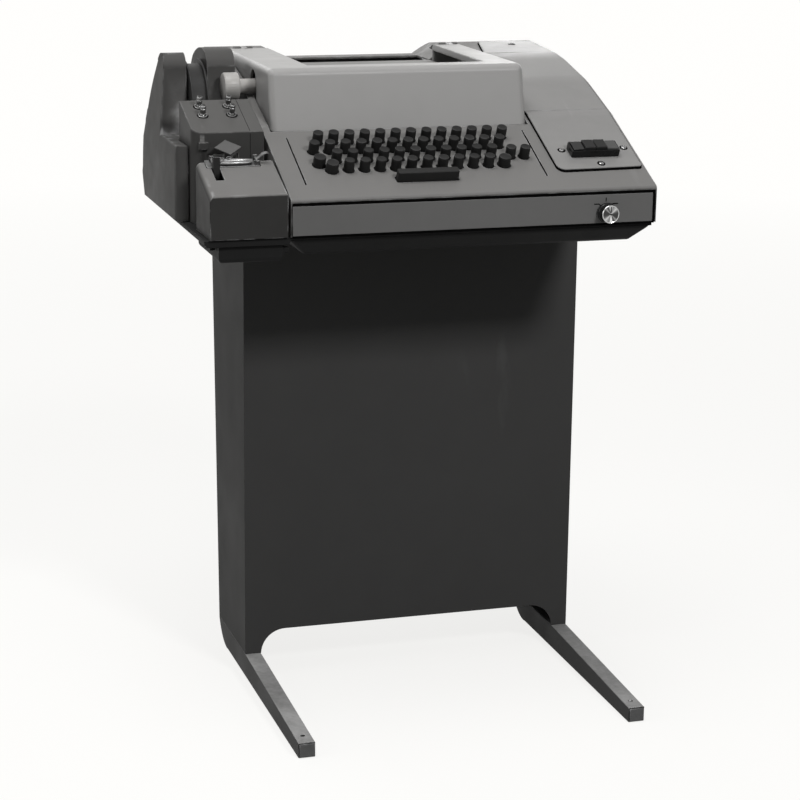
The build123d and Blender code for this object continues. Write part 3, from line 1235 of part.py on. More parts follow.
NUT_R = 6.0
BOLT_R = 3.0
BOLT_END = TABLE_Z - 12
with BuildPart() as stand_bolts:
    for x in BOLT_X:
        for y in BOLT_Y:
            upright(x, y, TABLE_Z + SKIN, TABLE_Z + SKIN + 4, NUT_R)
            upright(x, y, BOLT_END, TABLE_Z + SKIN + 1, BOLT_R)
            upright(x, y, TABLE_Z - SHEET - 5, TABLE_Z - SHEET, NUT_R)
save(stand_bolts.part, "stand_bolts")

GLAND_Z = (TABLE_Z - 12, TABLE_Z + 9)
GLAND_RIM = 8.0
GLAND_NUT = 4.0
with BuildPart() as cable_gland:
    upright(*GLAND, TABLE_Z - GLAND_RIM, TABLE_Z, GLAND_R[2])
    upright(*GLAND, *GLAND_Z, GLAND_R[1])
    upright(*GLAND, TABLE_Z + SKIN, TABLE_Z + SKIN + GLAND_NUT, GLAND_R[2])
    upright(*GLAND, GLAND_Z[0] - PAST, GLAND_Z[1] + PAST, GLAND_R[0], Mode.SUBTRACT)
save(cable_gland.part, "cable_gland")
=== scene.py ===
# %% [markdown]
# A teleprinter on its own stand, made over a measured frame. The frame gives every working part in
# its real place, in metres, with X to the right, Y to the back and the floor at Z = 0. This script
# gives each part its look: rounded edges, moulded grain, paint, chrome and rubber.

import json
import math

import bmesh
import bpy
from mathutils import Matrix, Vector


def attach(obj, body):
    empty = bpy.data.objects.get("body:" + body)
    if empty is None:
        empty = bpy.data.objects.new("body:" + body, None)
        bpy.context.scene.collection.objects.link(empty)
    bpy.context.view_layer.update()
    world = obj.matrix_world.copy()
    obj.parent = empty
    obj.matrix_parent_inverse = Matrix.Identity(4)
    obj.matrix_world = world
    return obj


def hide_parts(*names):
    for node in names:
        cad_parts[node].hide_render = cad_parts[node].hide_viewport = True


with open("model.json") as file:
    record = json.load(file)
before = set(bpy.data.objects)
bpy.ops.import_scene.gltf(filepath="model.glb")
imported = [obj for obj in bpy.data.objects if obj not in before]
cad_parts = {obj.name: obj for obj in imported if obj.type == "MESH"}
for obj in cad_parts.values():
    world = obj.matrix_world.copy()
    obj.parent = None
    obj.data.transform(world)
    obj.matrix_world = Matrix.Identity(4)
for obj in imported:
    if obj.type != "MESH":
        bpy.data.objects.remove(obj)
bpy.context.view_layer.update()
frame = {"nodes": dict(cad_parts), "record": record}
nodes = frame["nodes"]
body_of = {n: b for b, names in frame["record"]["behaviour"]["bodies"].items() for n in names}
slot_of = {s["node"]: s["material_slot"] for s in frame["record"]["subparts"]}

# %% [markdown]
# ## The camera
# The photograph was taken from the left and from above, with a long lens. A camera is placed by its
# own three directions: across, up, and backwards along its line of sight.

# %% Place the camera
MM = 0.001
FOCAL_PIXELS = 2320.45
PICTURE = 800
yaw, pitch, roll = 0.29729, 0.25383, 0.011736
ahead = Vector((math.sin(yaw) * math.cos(pitch), math.cos(yaw) * math.cos(pitch), -math.sin(pitch)))
across_view = Vector((math.cos(yaw), -math.sin(yaw), 0))
up_view = across_view.cross(ahead)
right = across_view * math.cos(roll) + up_view * math.sin(roll)
up = up_view * math.cos(roll) - across_view * math.sin(roll)
camera_data = bpy.data.cameras.new("view_camera")
camera_data.sensor_width = 36
camera_data.lens = FOCAL_PIXELS / PICTURE * camera_data.sensor_width
camera = bpy.data.objects.new("view_camera", camera_data)
bpy.context.scene.collection.objects.link(camera)
camera.matrix_world = Matrix.Translation((-0.81251, -2.74391, 1.11163)) @ Matrix(
    (right, up, -ahead)
).transposed().to_4x4()
camera_data.clip_end = 100
bpy.context.scene.camera = camera
bpy.context.scene.view_settings.view_transform = "Standard"
print("lens", round(camera_data.lens, 1), "mm")

# %% [markdown]
# ## Places on the machine
# The machine's own measures start at the middle of its front. Two sloped tops have their own
# directions: across, up the slope, and away from it.

# %% Helpers for places
BODY_X, FASCIA_Y = 53.0, -220.0


def at(x, y, z):
    """A point given in millimetres from the middle of the front, in metres of the frame."""
    return Vector((x + BODY_X, y + FASCIA_Y, z)) * MM


class Slope:
    """A sloped top: points on it are given across, up the slope, and above it."""

    def __init__(self, y, z, degrees):
        self.turn = math.radians(degrees)
        self.start = (y, z)

    def at(self, x, s, h=0.0):
        c, k = math.cos(self.turn), math.sin(self.turn)
        return at(x, self.start[0] + s * c - h * k, self.start[1] + s * k + h * c)

    def matrix(self, x, s, h=0.0):
        """Place and tilt of a part that stands square on the slope."""
        return Matrix.Translation(self.at(x, s, h)) @ Matrix.Rotation(self.turn, 4, "X")


deck = Slope(0.0, 668.7, 24.0)
reader_top = Slope(2.0, 677.0, 20.5)
punch_top = Slope(109.0, 733.0, 20.5)
rear_top = Slope(400.0, 791.65, 3.556)

# %% [markdown]
# ## Shared effects
# Every moulded or painted surface has the same few things on it: tone that drifts, fine grain, pale edges that are
# partly wear and partly a painted highlight, painted shade on the upright faces, and small scratches. All but the grain
# are node groups with named inputs, built once and used with other values in each finish.

# %% Node group helpers


def group(name, inputs, outputs):
    """An empty shader group with its sockets, and its input and output nodes."""
    tree = bpy.data.node_groups.new(name, "ShaderNodeTree")
    for label, kind, value in inputs:
        socket = tree.interface.new_socket(label, in_out="INPUT", socket_type=kind)
        socket.default_value = value
    for label, kind in outputs:
        tree.interface.new_socket(label, in_out="OUTPUT", socket_type=kind)
    return tree, tree.nodes.new("NodeGroupInput"), tree.nodes.new("NodeGroupOutput")


def node(tree, kind, links=None, **settings):
    """A node with its settings, and links or values for its sockets."""
    made = tree.nodes.new(kind)
    for key, value in settings.items():
        setattr(made, key, value)
    for key, value in (links or {}).items():
        socket = made.inputs[key]
        if isinstance(value, bpy.types.NodeSocket):
            tree.links.new(value, socket)
        else:
            socket.default_value = value
    return made


def math_node(tree, operation, a, b=0.0, clamp=False):
    return node(tree, "ShaderNodeMath", {0: a, 1: b}, operation=operation, use_clamp=clamp).outputs[0]


FLOAT, COLOUR, VECTOR = "NodeSocketFloat", "NodeSocketColor", "NodeSocketVector"

# %% Tone that drifts


def make_tone():
    tree, start, end = group(
        "drifting_tone",
        [("Colour", COLOUR, (0.2, 0.2, 0.2, 1)), ("Spread", FLOAT, 0.15), ("Scale", FLOAT, 6.0)],
        [("Colour", COLOUR), ("Value", FLOAT)],
    )
    place = node(tree, "ShaderNodeTexCoord").outputs["Object"]
    wide = node(tree, "ShaderNodeTexNoise", {"Vector": place, "Scale": start.outputs["Scale"], "Detail": 4.0})
    fine_scale = math_node(tree, "MULTIPLY", start.outputs["Scale"], 9.0)
    fine = node(tree, "ShaderNodeTexNoise", {"Vector": place, "Scale": fine_scale, "Detail": 3.0})
    both = math_node(tree, "ADD", math_node(tree, "MULTIPLY", wide.outputs[0], 0.7), math_node(tree, "MULTIPLY", fine.outputs[0], 0.3))
    swing = math_node(tree, "SUBTRACT", both, 0.5)
    gain = math_node(tree, "ADD", math_node(tree, "MULTIPLY", swing, math_node(tree, "MULTIPLY", start.outputs["Spread"], 4.0)), 1.0)
    scaled = node(tree, "ShaderNodeVectorMath", {0: start.outputs["Colour"], "Scale": gain}, operation="SCALE")
    tree.links.new(scaled.outputs[0], end.inputs["Colour"])
    tree.links.new(both, end.inputs["Value"])
    return tree


tone_group = make_tone()
print("made", tone_group.name)

# %% [markdown]
# Rubbed edges are found by comparing the real surface direction with one rounded off by a Bevel node: where the two
# differ, there is an edge. The pale colour laid there is partly wear and partly a painted highlight. The same rounded
# direction makes every hard edge catch the light, as a moulded edge does.

# %% Rubbed edges with painted highlights, and rounded edges


def make_edges():
    tree, start, end = group(
        "rubbed_and_highlit_edges",
        [("Radius", FLOAT, 0.0012), ("Amount", FLOAT, 1.0), ("Broken", FLOAT, 60.0)],
        [("Mask", FLOAT), ("Normal", VECTOR)],
    )
    soft = node(tree, "ShaderNodeBevel", {"Radius": start.outputs["Radius"]}, samples=6)
    true = node(tree, "ShaderNodeNewGeometry").outputs["True Normal"]
    meet = node(tree, "ShaderNodeVectorMath", {0: soft.outputs[0], 1: true}, operation="DOT_PRODUCT").outputs["Value"]
    edge = math_node(tree, "MULTIPLY", math_node(tree, "SUBTRACT", 1.0, meet), 5.0, clamp=True)
    place = node(tree, "ShaderNodeTexCoord").outputs["Object"]
    broken = node(tree, "ShaderNodeTexNoise", {"Vector": place, "Scale": start.outputs["Broken"], "Detail": 5.0})
    patchy = math_node(tree, "MULTIPLY", math_node(tree, "SUBTRACT", broken.outputs[0], 0.42), 4.0, clamp=True)
    mask = math_node(tree, "MULTIPLY", math_node(tree, "MULTIPLY", edge, patchy), start.outputs["Amount"], clamp=True)
    tree.links.new(mask, end.inputs["Mask"])
    tree.links.new(soft.outputs[0], end.inputs["Normal"])
    return tree


edge_wear_and_highlight_group = make_edges()
print("made", edge_wear_and_highlight_group.name)

# %% [markdown]
# The upright faces are painted darker than the flat tops: painted shade, for the less light that falls on them. The
# object's own surface direction tells the two apart: its height part is one on a top and nothing on a side.

# %% Painted shade on upright faces


def make_faded():
    tree, start, end = group(
        "painted_shade_by_facing", [("Colour", COLOUR, (0.2, 0.2, 0.2, 1)), ("Side", FLOAT, 0.6)], [("Colour", COLOUR)]
    )
    facing = node(tree, "ShaderNodeTexCoord").outputs["Normal"]
    rise = node(tree, "ShaderNodeSeparateXYZ", {0: facing}).outputs[2]
    top = node(tree, "ShaderNodeMapRange", {"Value": rise, "From Min": 0.25, "From Max": 0.8}).outputs[0]
    missing = math_node(tree, "SUBTRACT", 1.0, start.outputs["Side"])
    gain = math_node(tree, "ADD", math_node(tree, "MULTIPLY", top, missing), start.outputs["Side"])
    scaled = node(tree, "ShaderNodeVectorMath", {0: start.outputs["Colour"], "Scale": gain}, operation="SCALE")
    tree.links.new(scaled.outputs[0], end.inputs["Colour"])
    return tree


painted_shade_group = make_faded()
print("made", painted_shade_group.name)

# %% Scratches and small marks


def make_marks():
    tree, start, end = group(
        "marks",
        [("Scale", FLOAT, 40.0), ("Amount", FLOAT, 0.5)],
        [("Mask", FLOAT)],
    )
    place = node(tree, "ShaderNodeTexCoord").outputs["Object"]
    drawn = node(tree, "ShaderNodeMapping", {"Vector": place, "Rotation": (0.4, 0.9, 0.7), "Scale": (1, 0.12, 0.25)})
    lines = node(tree, "ShaderNodeTexNoise", {"Vector": drawn.outputs[0], "Scale": start.outputs["Scale"], "Detail": 6.0})
    where_scale = math_node(tree, "MULTIPLY", start.outputs["Scale"], 0.12)
    where = node(tree, "ShaderNodeTexNoise", {"Vector": place, "Scale": where_scale, "Detail": 2.0})
    line_mask = math_node(tree, "MULTIPLY", math_node(tree, "SUBTRACT", lines.outputs[0], 0.66), 14.0, clamp=True)
    where_mask = math_node(tree, "MULTIPLY", math_node(tree, "SUBTRACT", where.outputs[0], 0.5), 6.0, clamp=True)
    mask = math_node(tree, "MULTIPLY", math_node(tree, "MULTIPLY", line_mask, where_mask), start.outputs["Amount"])
    tree.links.new(mask, end.inputs["Mask"])
    return tree


mark_group = make_marks()
print("made", mark_group.name)

# %% [markdown]
# ## Finishes
# One function lays a finish from the shared groups: a base colour that drifts, pale rubbed edges that are partly
# painted highlights, painted shade on the upright faces, marks, a roughness that changes with the tone, and grain as a
# bump. The greys are warm, as old moulded plastic turns; each value is the colour of a top, and the upright faces are
# darker by painted shade.

# %% Make a finish


def grey(level, warm=0.0):
    """A linear grey; warm adds a little red and takes away blue."""
    return (level * (1 + warm), level, level * (1 - 1.4 * warm), 1)


def finish(name, colour, roughness, spread=0.12, drift=5.0, grain=(900, 0.00004), edge=(0.0012, 0.5, None),
           marks=(40, 0.3), metallic=0.0, coat=0.0, specular=0.5, rough_spread=0.15, side=1.0):
    material = bpy.data.materials.new(name)
    material.use_nodes = True
    tree = material.node_tree
    shader = tree.nodes["Principled BSDF"]
    shader.inputs["Metallic"].default_value = metallic
    shader.inputs["Coat Weight"].default_value = coat
    shader.inputs["Coat Roughness"].default_value = 0.12
    shader.inputs["Specular IOR Level"].default_value = specular

    tone = node(tree, "ShaderNodeGroup", node_tree=tone_group)
    tone.inputs["Colour"].default_value = colour
    tone.inputs["Spread"].default_value = spread
    tone.inputs["Scale"].default_value = drift
    # Upright faces keep only the side share of the colour: painted shade.
    facing_shade = node(tree, "ShaderNodeGroup", {"Colour": tone.outputs["Colour"], "Side": side}, node_tree=painted_shade_group)
    edge_wear_and_highlight = node(tree, "ShaderNodeGroup", node_tree=edge_wear_and_highlight_group)
    edge_wear_and_highlight.inputs["Radius"].default_value = edge[0]
    edge_wear_and_highlight.inputs["Amount"].default_value = edge[1]
    scratch = node(tree, "ShaderNodeGroup", node_tree=mark_group)
    scratch.inputs["Scale"].default_value = marks[0]
    scratch.inputs["Amount"].default_value = marks[1]

    # Pale for the rubbed edges, as wear and as a painted highlight, and for the scratches, as wear.
    pale_wear_and_highlight = edge[2] or tuple(min(1.0, c * 2.4 + 0.03) for c in colour[:3]) + (1,)
    worn_and_highlit = node(tree, "ShaderNodeMix", {"Factor": edge_wear_and_highlight.outputs["Mask"]}, data_type="RGBA")
    tree.links.new(facing_shade.outputs["Colour"], worn_and_highlit.inputs["A"])
    worn_and_highlit.inputs["B"].default_value = pale_wear_and_highlight
    marked = node(tree, "ShaderNodeMix", {"Factor": scratch.outputs["Mask"]}, data_type="RGBA")
    tree.links.new(worn_and_highlit.outputs["Result"], marked.inputs["A"])
    marked.inputs["B"].default_value = pale_wear_and_highlight
    tree.links.new(marked.outputs["Result"], shader.inputs["Base Color"])

    swing = math_node(tree, "MULTIPLY", math_node(tree, "SUBTRACT", tone.outputs["Value"], 0.5), rough_spread * 4)
    tree.links.new(math_node(tree, "ADD", swing, roughness, clamp=True), shader.inputs["Roughness"])

    place = node(tree, "ShaderNodeTexCoord").outputs["Object"]
    bumps = node(tree, "ShaderNodeTexNoise", {"Vector": place, "Scale": grain[0], "Detail": 2.0})
    bump = node(tree, "ShaderNodeBump", {"Height": bumps.outputs[0], "Distance": grain[1], "Strength": 0.6})
    tree.links.new(edge_wear_and_highlight.outputs["Normal"], bump.inputs["Normal"])
    tree.links.new(bump.outputs[0], shader.inputs["Normal"])
    return material


# Each colour is a top's colour; side is how much of it the upright faces keep, as painted shade. The pale edge colour
# is partly wear and partly a painted highlight.
finishes = {
    "stand_paint": finish("stand_paint", grey(0.130, 0.01), 0.5, spread=0.07, drift=2.4, grain=(700, 0.00005),
                          edge=(0.001, 0.5, grey(0.16)), marks=(26, 0.2), specular=0.012, side=0.46),
    "foot_paint": finish("foot_paint", grey(0.28, 0.01), 0.5, spread=0.42, drift=16, grain=(500, 0.00008),
                         edge=(0.0014, 1.3, grey(0.6)), marks=(34, 0.9), specular=0.03, side=0.2),
    "cover_grey": finish("cover_grey", grey(0.148, 0.02), 0.46, spread=0.05, drift=4.0, grain=(1500, 0.00003),
                         edge=(0.0022, 1.3, grey(0.40)), marks=(30, 0.2), specular=0.15, side=0.7),
    "lid_grey": finish("lid_grey", grey(0.29, 0.015), 0.34, spread=0.04, drift=4.0, grain=(1300, 0.00002),
                       edge=(0.0024, 1.2, grey(0.66)), marks=(22, 0.25), specular=0.2, side=0.86),
    "reader_grey": finish("reader_grey", grey(0.155, 0.02), 0.38, spread=0.08, drift=6.0, grain=(1400, 0.00003),
                          edge=(0.0020, 1.5, grey(0.42)), marks=(30, 0.3), specular=0.03, side=0.24),
    "punch_grey": finish("punch_grey", grey(0.085, 0.02), 0.40, spread=0.08, drift=6.0, grain=(1400, 0.00003),
                         edge=(0.0020, 1.5, grey(0.40)), marks=(30, 0.3), specular=0.06, side=0.52),
    "tape_grey": finish("tape_grey", grey(0.074, 0.02), 0.44, spread=0.10, drift=5.0, grain=(1400, 0.00003),
                        edge=(0.0020, 1.2, grey(0.24)), marks=(30, 0.3), specular=0.03, side=0.85),
    "plate_grey": finish("plate_grey", grey(0.20, 0.015), 0.36, spread=0.12, drift=7.0, grain=(1500, 0.00002),
                         edge=(0.0010, 0.5, grey(0.45)), marks=(24, 0.4), specular=0.16, rough_spread=0.12),
    "pan_black": finish("pan_black", grey(0.016), 0.55, spread=0.15, edge=(0.001, 0.3, grey(0.05)), specular=0.05),
    "fascia_grey": finish("fascia_grey", grey(0.125, 0.01), 0.42, spread=0.06, grain=(1800, 0.00002),
                          edge=(0.0005, 0.6, grey(0.30)), marks=(34, 0.15), specular=0.08),
    "key_grey": finish("key_grey", grey(0.017, 0.01), 0.44, spread=0.18, drift=30, grain=(2500, 0.00001),
                       edge=(0.0007, 0.8, grey(0.15)), marks=(90, 0.2), specular=0.08),
    "worn_key_grey": finish("worn_key_grey", grey(0.060, 0.01), 0.42, spread=0.2, drift=60, grain=(2500, 0.00001),
                            edge=(0.0006, 0.6, grey(0.3)), marks=(90, 0.4), specular=0.12),
    "black_plastic": finish("black_plastic", grey(0.008), 0.24, spread=0.2, drift=20, grain=(2500, 0.00001),
                            edge=(0.0004, 0.35, grey(0.07)), marks=(80, 0.2), specular=0.2),
    "shadow_black": finish("shadow_black", grey(0.003), 0.9, spread=0.1, edge=(0.0004, 0.0, grey(0.02)),
                           marks=(80, 0.0), specular=0.0),
    "print_black": finish("print_black", grey(0.008), 0.7, spread=0.1, edge=(0.0002, 0.0, grey(0.02)),
                          marks=(80, 0.0), specular=0.0),
    "cream_plastic": finish("cream_plastic", grey(0.34, 0.03), 0.34, spread=0.08, drift=40, grain=(2200, 0.00001),
                            edge=(0.0012, 0.4, grey(0.6)), marks=(70, 0.2), specular=0.25),
    "bright_steel": finish("bright_steel", grey(0.42), 0.32, spread=0.10, drift=30, metallic=1.0,
                           edge=(0.0004, 0.2, None), marks=(120, 0.3)),
    "chrome_trim": finish("chrome_trim", grey(0.50), 0.16, spread=0.08, drift=40, metallic=1.0, rough_spread=0.1,
                          grain=(900, 0.00001), edge=(0.0004, 0.0, None), marks=(120, 0.2)),
    "dull_chrome": finish("dull_chrome", grey(0.20), 0.26, spread=0.25, drift=90, metallic=1.0, rough_spread=0.3,
                          grain=(900, 0.00002), edge=(0.0006, 0.7, grey(0.7)), marks=(160, 0.5)),
    "gate_steel": finish("gate_steel", grey(0.13), 0.38, spread=0.35, drift=110, metallic=0.7, rough_spread=0.3,
                         grain=(900, 0.00002), edge=(0.0006, 0.6, grey(0.6)), marks=(160, 0.5)),
    "guide_grey": finish("guide_grey", grey(0.095, 0.01), 0.42, spread=0.08, drift=30, grain=(1800, 0.00001),
                         edge=(0.0005, 0.3, grey(0.25)), marks=(90, 0.2), specular=0.1),
    "platen_rubber": finish("platen_rubber", grey(0.016), 0.62, spread=0.2, drift=20, edge=(0.0006, 0.1, None),
                            specular=0.1),
    "plug_rubber": finish("plug_rubber", grey(0.085), 0.45, spread=0.3, drift=60, grain=(220, 0.0008),
                          edge=(0.0012, 0.9, grey(0.5)), marks=(120, 0.6), specular=0.3),
    "reel_grey": finish("reel_grey", grey(0.028, 0.01), 0.45, spread=0.15, drift=14, edge=(0.0008, 0.4, None),
                        specular=0.1),
    "switch_brown": finish("switch_brown", (0.05, 0.03, 0.02, 1), 0.5, spread=0.2, drift=20),
}
print(len(finishes), "finishes")

# %% [markdown]
# ## Pieces from the measured parts
# The frame's parts are loose triangles with hard edges. A piece made over one has its points
# joined, its flat faces cleaned, its long edges really rounded by a Bevel modifier, and smooth
# shading that breaks only at hard edges.

# %% Dress a part


def make_object(name, mesh, material):
    made = bpy.data.objects.new(name, mesh)
    bpy.context.scene.collection.objects.link(made)
    mesh.materials.clear()
    mesh.materials.append(material)
    return made


def set_smooth(mesh, degrees=30):
    mesh.polygons.foreach_set("use_smooth", [True] * len(mesh.polygons))
    mesh.set_sharp_from_angle(angle=math.radians(degrees))


def applied(piece):
    """The piece with its modifiers turned into a plain mesh."""
    bpy.context.view_layer.update()
    shown = piece.evaluated_get(bpy.context.evaluated_depsgraph_get())
    mesh = bpy.data.meshes.new_from_object(shown)
    piece.modifiers.clear()
    piece.data = mesh
    return piece


def crossed(mesh):
    """Area, in square millimetres, of triangles that face away from their own face."""
    mesh.calc_loop_triangles()
    total = 0.0
    for triangle in mesh.loop_triangles:
        a, b, c = (mesh.vertices[n].co for n in triangle.vertices)
        facing = (b - a).cross(c - a)
        if facing.dot(mesh.polygons[triangle.polygon_index].normal) < 0:
            total += facing.length / 2
    return total / MM / MM


def dress(part, width=0.8, longer=6.0, segments=3, material=None, share=None, under=False):
    """A finished piece over a part: edges longer than the given length are rounded by width.

    The share function says how much of that width an edge gets, from its place on the machine.
    Edges of faces that look down are rounded only if asked. Where the rounding would cross
    itself, a smaller one is taken.
    """
    mesh = nodes[part].data.copy()
    shape = bmesh.new()
    shape.from_mesh(mesh)
    bmesh.ops.remove_doubles(shape, verts=shape.verts, dist=3e-6)
    bmesh.ops.dissolve_limit(shape, angle_limit=math.radians(0.4), verts=shape.verts, edges=shape.edges)
    weights = shape.edges.layers.float.new("bevel_weight_edge")
    count = 0
    for edge in shape.edges:
        if len(edge.link_faces) != 2 or edge.calc_face_angle() < math.radians(35):
            continue
        if edge.calc_length() < longer * MM or not edge.is_convex:
            continue
        if not under and min(face.normal.z for face in edge.link_faces) < -0.7:
            continue
        middle = (edge.verts[0].co + edge.verts[1].co) / 2
        given = share(middle.x / MM - BODY_X, middle.y / MM - FASCIA_Y, middle.z / MM) if share else 1.0
        edge[weights] = given
        count += given > 0
    shape.to_mesh(mesh)
    shape.free()
    name = part + "_piece"
    piece = make_object(name, mesh, material or finishes[slot_of[part]])
    set_smooth(mesh)
    for part_of_width in (1.0, 0.8, 0.6, 0.4, 0.2, 0.0):
        piece.data = mesh.copy()
        if count and width and part_of_width:
            bevel = piece.modifiers.new("edges", "BEVEL")
            bevel.limit_method = "WEIGHT"
            bevel.width = width * MM * part_of_width
            bevel.segments = segments
            bevel.use_clamp_overlap = False
        flat = piece.modifiers.new("flat_faces", "WEIGHTED_NORMAL")
        flat.keep_sharp = True
        flat.weight = 90
        applied(piece)
        if crossed(piece.data) < 3:
            break
    if part_of_width < 1:
        print(part, "rounded by", round(width * part_of_width, 2), "mm")
    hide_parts(part)
    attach(piece, body_of[part])
    return piece


def cover_share(x, y, z):
    """The rim of the well behind the lid stays as it is cut."""
    return 0.0 if y > 388 and z > 768 and -172 < x < 104 else 1.0


def reader_share(x, y, z):
    """The lever's slot stays as it is cut."""
    return 0.0 if -306 < x < -290 and 28 < y < 68 and z > 675 else 1.0


def well_share(x, y, z):
    """The fin's outer edges are the softest."""
    return 1.0 if x < -316 and z > 640 else 0.4


shares = {"main_cover": cover_share, "reader_cover": reader_share, "tape_well_cover": well_share}
rounded_under = ("base_pan", "tape_unit_shelf", "left_foot", "right_foot")
covers = {  # rounding and shortest rounded edge in millimetres, and a finish of its own
    "main_cover": (1.4, 9, "cover_grey"), "printer_lid": (2.4, 12, "lid_grey"),
    "control_panel_plate": (0.9, 6, "plate_grey"), "reader_cover": (1.2, 9, "reader_grey"),
    "punch_cover": (1.0, 12, "punch_grey"), "tape_well_cover": (5.0, 6, "tape_grey"),
    "stand_column": (0.8, 20, "stand_paint"), "stand_back_panel": (0.4, 20, "stand_paint"),
    "left_foot": (0.9, 15, "foot_paint"), "right_foot": (0.9, 15, "foot_paint"),
    "base_pan": (5.0, 30, "pan_black"), "tape_unit_shelf": (0.8, 30, "pan_black"),
    "chad_box": (0.6, 30, "pan_black"), "front_fascia": (0.0, 30, "fascia_grey"),
    "panel_key_frame": (0.4, 10, "black_plastic"),
}
for part, (width, longer, look) in covers.items():
    dress(part, width, longer, 5 if width > 4 else 3, finishes[look], shares.get(part), part in rounded_under)
print(len(covers), "covers dressed")

# %% Plain dressing for the working parts
worked = [
    "call_control_unit", "keyboard_frame", "printer_frame", "carriage_rails", "motor", "drive_belt",
    "punch_block", "carriage", "type_wheel", "left_ribbon_spool", "right_ribbon_spool",
    "motor_shaft", "main_shaft", "paper_spindle", "tape_reel", "platen", "cable_gland", "stand_bolts",
    "reader_lever", "panel_key_1", "panel_key_2", "panel_key_3",
]
for part in worked:
    dress(part, 0.35, 8, segments=2)
dress("panel_key_4", 0.35, 8, segments=2, material=finishes["worn_key_grey"])
dress("reader_block", 0.35, 8, segments=2, material=finishes["gate_steel"])
dress("tape_tear_guide", 0.2, 8, segments=2, material=finishes["guide_grey"])
dress("space_bar", 1.0, 6, segments=3)
dress("foot_plugs", 2.2, 5, segments=4, material=finishes["plug_rubber"], under=True)
print(len(worked) + 5, "working parts dressed")

# %% [markdown]
# ## Key caps
# Each key is a round, slightly tapered post with a dished top and a soft rim. One cap is turned
# from its outline, and Geometry Nodes sets it out at every key's place, each a hair turned and
# tilted, as worn keys stand. The tree ends in real geometry with its finish set.

# %% Turn an outline


def turned(name, outline, steps=40, flute=0.0, flutes=0, fluted=(5, 99)):
    """A closed solid of revolution about Z; outline is (radius, height) in millimetres, bottom first.

    Flutes are cut only where the height is within the fluted span.
    """
    mesh = bpy.data.meshes.new(name)
    shape = bmesh.new()
    rings = []
    for radius, height in outline:
        if radius < 1e-4:
            rings.append([shape.verts.new((0, 0, height * MM))])
            continue
        ring = []
        for n in range(steps):
            a = 2 * math.pi * n / steps
            cut = flute * (0.5 + 0.5 * math.cos(flutes * a)) if fluted[0] < height < fluted[1] else 0
            r = radius * (1 - cut)
            ring.append(shape.verts.new((r * MM * math.cos(a), r * MM * math.sin(a), height * MM)))
        rings.append(ring)
    for low, high in zip(rings, rings[1:]):
        for n in range(steps):
            m = (n + 1) % steps
            if len(low) == 1:
                shape.faces.new((low[0], high[m], high[n]))
            elif len(high) == 1:
                shape.faces.new((low[n], low[m], high[0]))
            else:
                shape.faces.new((low[n], low[m], high[m], high[n]))
    bmesh.ops.recalc_face_normals(shape, faces=shape.faces)
    shape.to_mesh(mesh)
    shape.free()
    set_smooth(mesh, 38)
    return mesh


# %% Geometry Nodes that set parts out


def make_set_out():
    """Points in, one copy of a part at each point, turned and tilted a little by a fixed seed."""
    tree = bpy.data.node_groups.new("set_out_parts", "GeometryNodeTree")
    face = tree.interface
    face.new_socket("Geometry", in_out="INPUT", socket_type="NodeSocketGeometry")
    face.new_socket("Part", in_out="INPUT", socket_type="NodeSocketObject")
    face.new_socket("Material", in_out="INPUT", socket_type="NodeSocketMaterial")
    face.new_socket("Lean", in_out="INPUT", socket_type="NodeSocketFloat")
    face.new_socket("Wobble", in_out="INPUT", socket_type="NodeSocketFloat")
    face.new_socket("Turn", in_out="INPUT", socket_type="NodeSocketFloat")
    face.new_socket("Seed", in_out="INPUT", socket_type="NodeSocketInt")
    face.new_socket("Geometry", in_out="OUTPUT", socket_type="NodeSocketGeometry")
    start, end = tree.nodes.new("NodeGroupInput"), tree.nodes.new("NodeGroupOutput")
    part = node(tree, "GeometryNodeObjectInfo", {"Object": start.outputs["Part"]})
    points = node(tree, "GeometryNodeMeshToPoints", {"Mesh": start.outputs["Geometry"]})
    low = node(tree, "ShaderNodeCombineXYZ")
    high = node(tree, "ShaderNodeCombineXYZ")
    for comb, sign in ((low, -1.0), (high, 1.0)):
        wob = math_node(tree, "MULTIPLY", start.outputs["Wobble"], sign)
        tree.links.new(wob, comb.inputs[0])
        tree.links.new(wob, comb.inputs[1])
        tree.links.new(math_node(tree, "MULTIPLY", start.outputs["Turn"], sign), comb.inputs[2])
    chance = tree.nodes.new("FunctionNodeRandomValue")
    chance.data_type = "FLOAT_VECTOR"
    tree.links.new(low.outputs[0], chance.inputs[0])
    tree.links.new(high.outputs[0], chance.inputs[1])
    tree.links.new(start.outputs["Seed"], chance.inputs["Seed"])
    lean = node(tree, "ShaderNodeCombineXYZ", {"X": start.outputs["Lean"]})
    stand = tree.nodes.new("GeometryNodeInstanceOnPoints")
    tree.links.new(points.outputs[0], stand.inputs["Points"])
    tree.links.new(part.outputs["Geometry"], stand.inputs["Instance"])
    tree.links.new(lean.outputs[0], stand.inputs["Rotation"])
    tipped = node(tree, "GeometryNodeRotateInstances", {"Instances": stand.outputs[0], "Rotation": chance.outputs[0]})
    tipped.inputs["Local Space"].default_value = True
    real = node(tree, "GeometryNodeRealizeInstances", {"Geometry": tipped.outputs[0]})
    painted = node(tree, "GeometryNodeSetMaterial", {"Geometry": real.outputs[0], "Material": start.outputs["Material"]})
    tree.links.new(painted.outputs[0], end.inputs[0])
    return tree


set_out_tree = make_set_out()


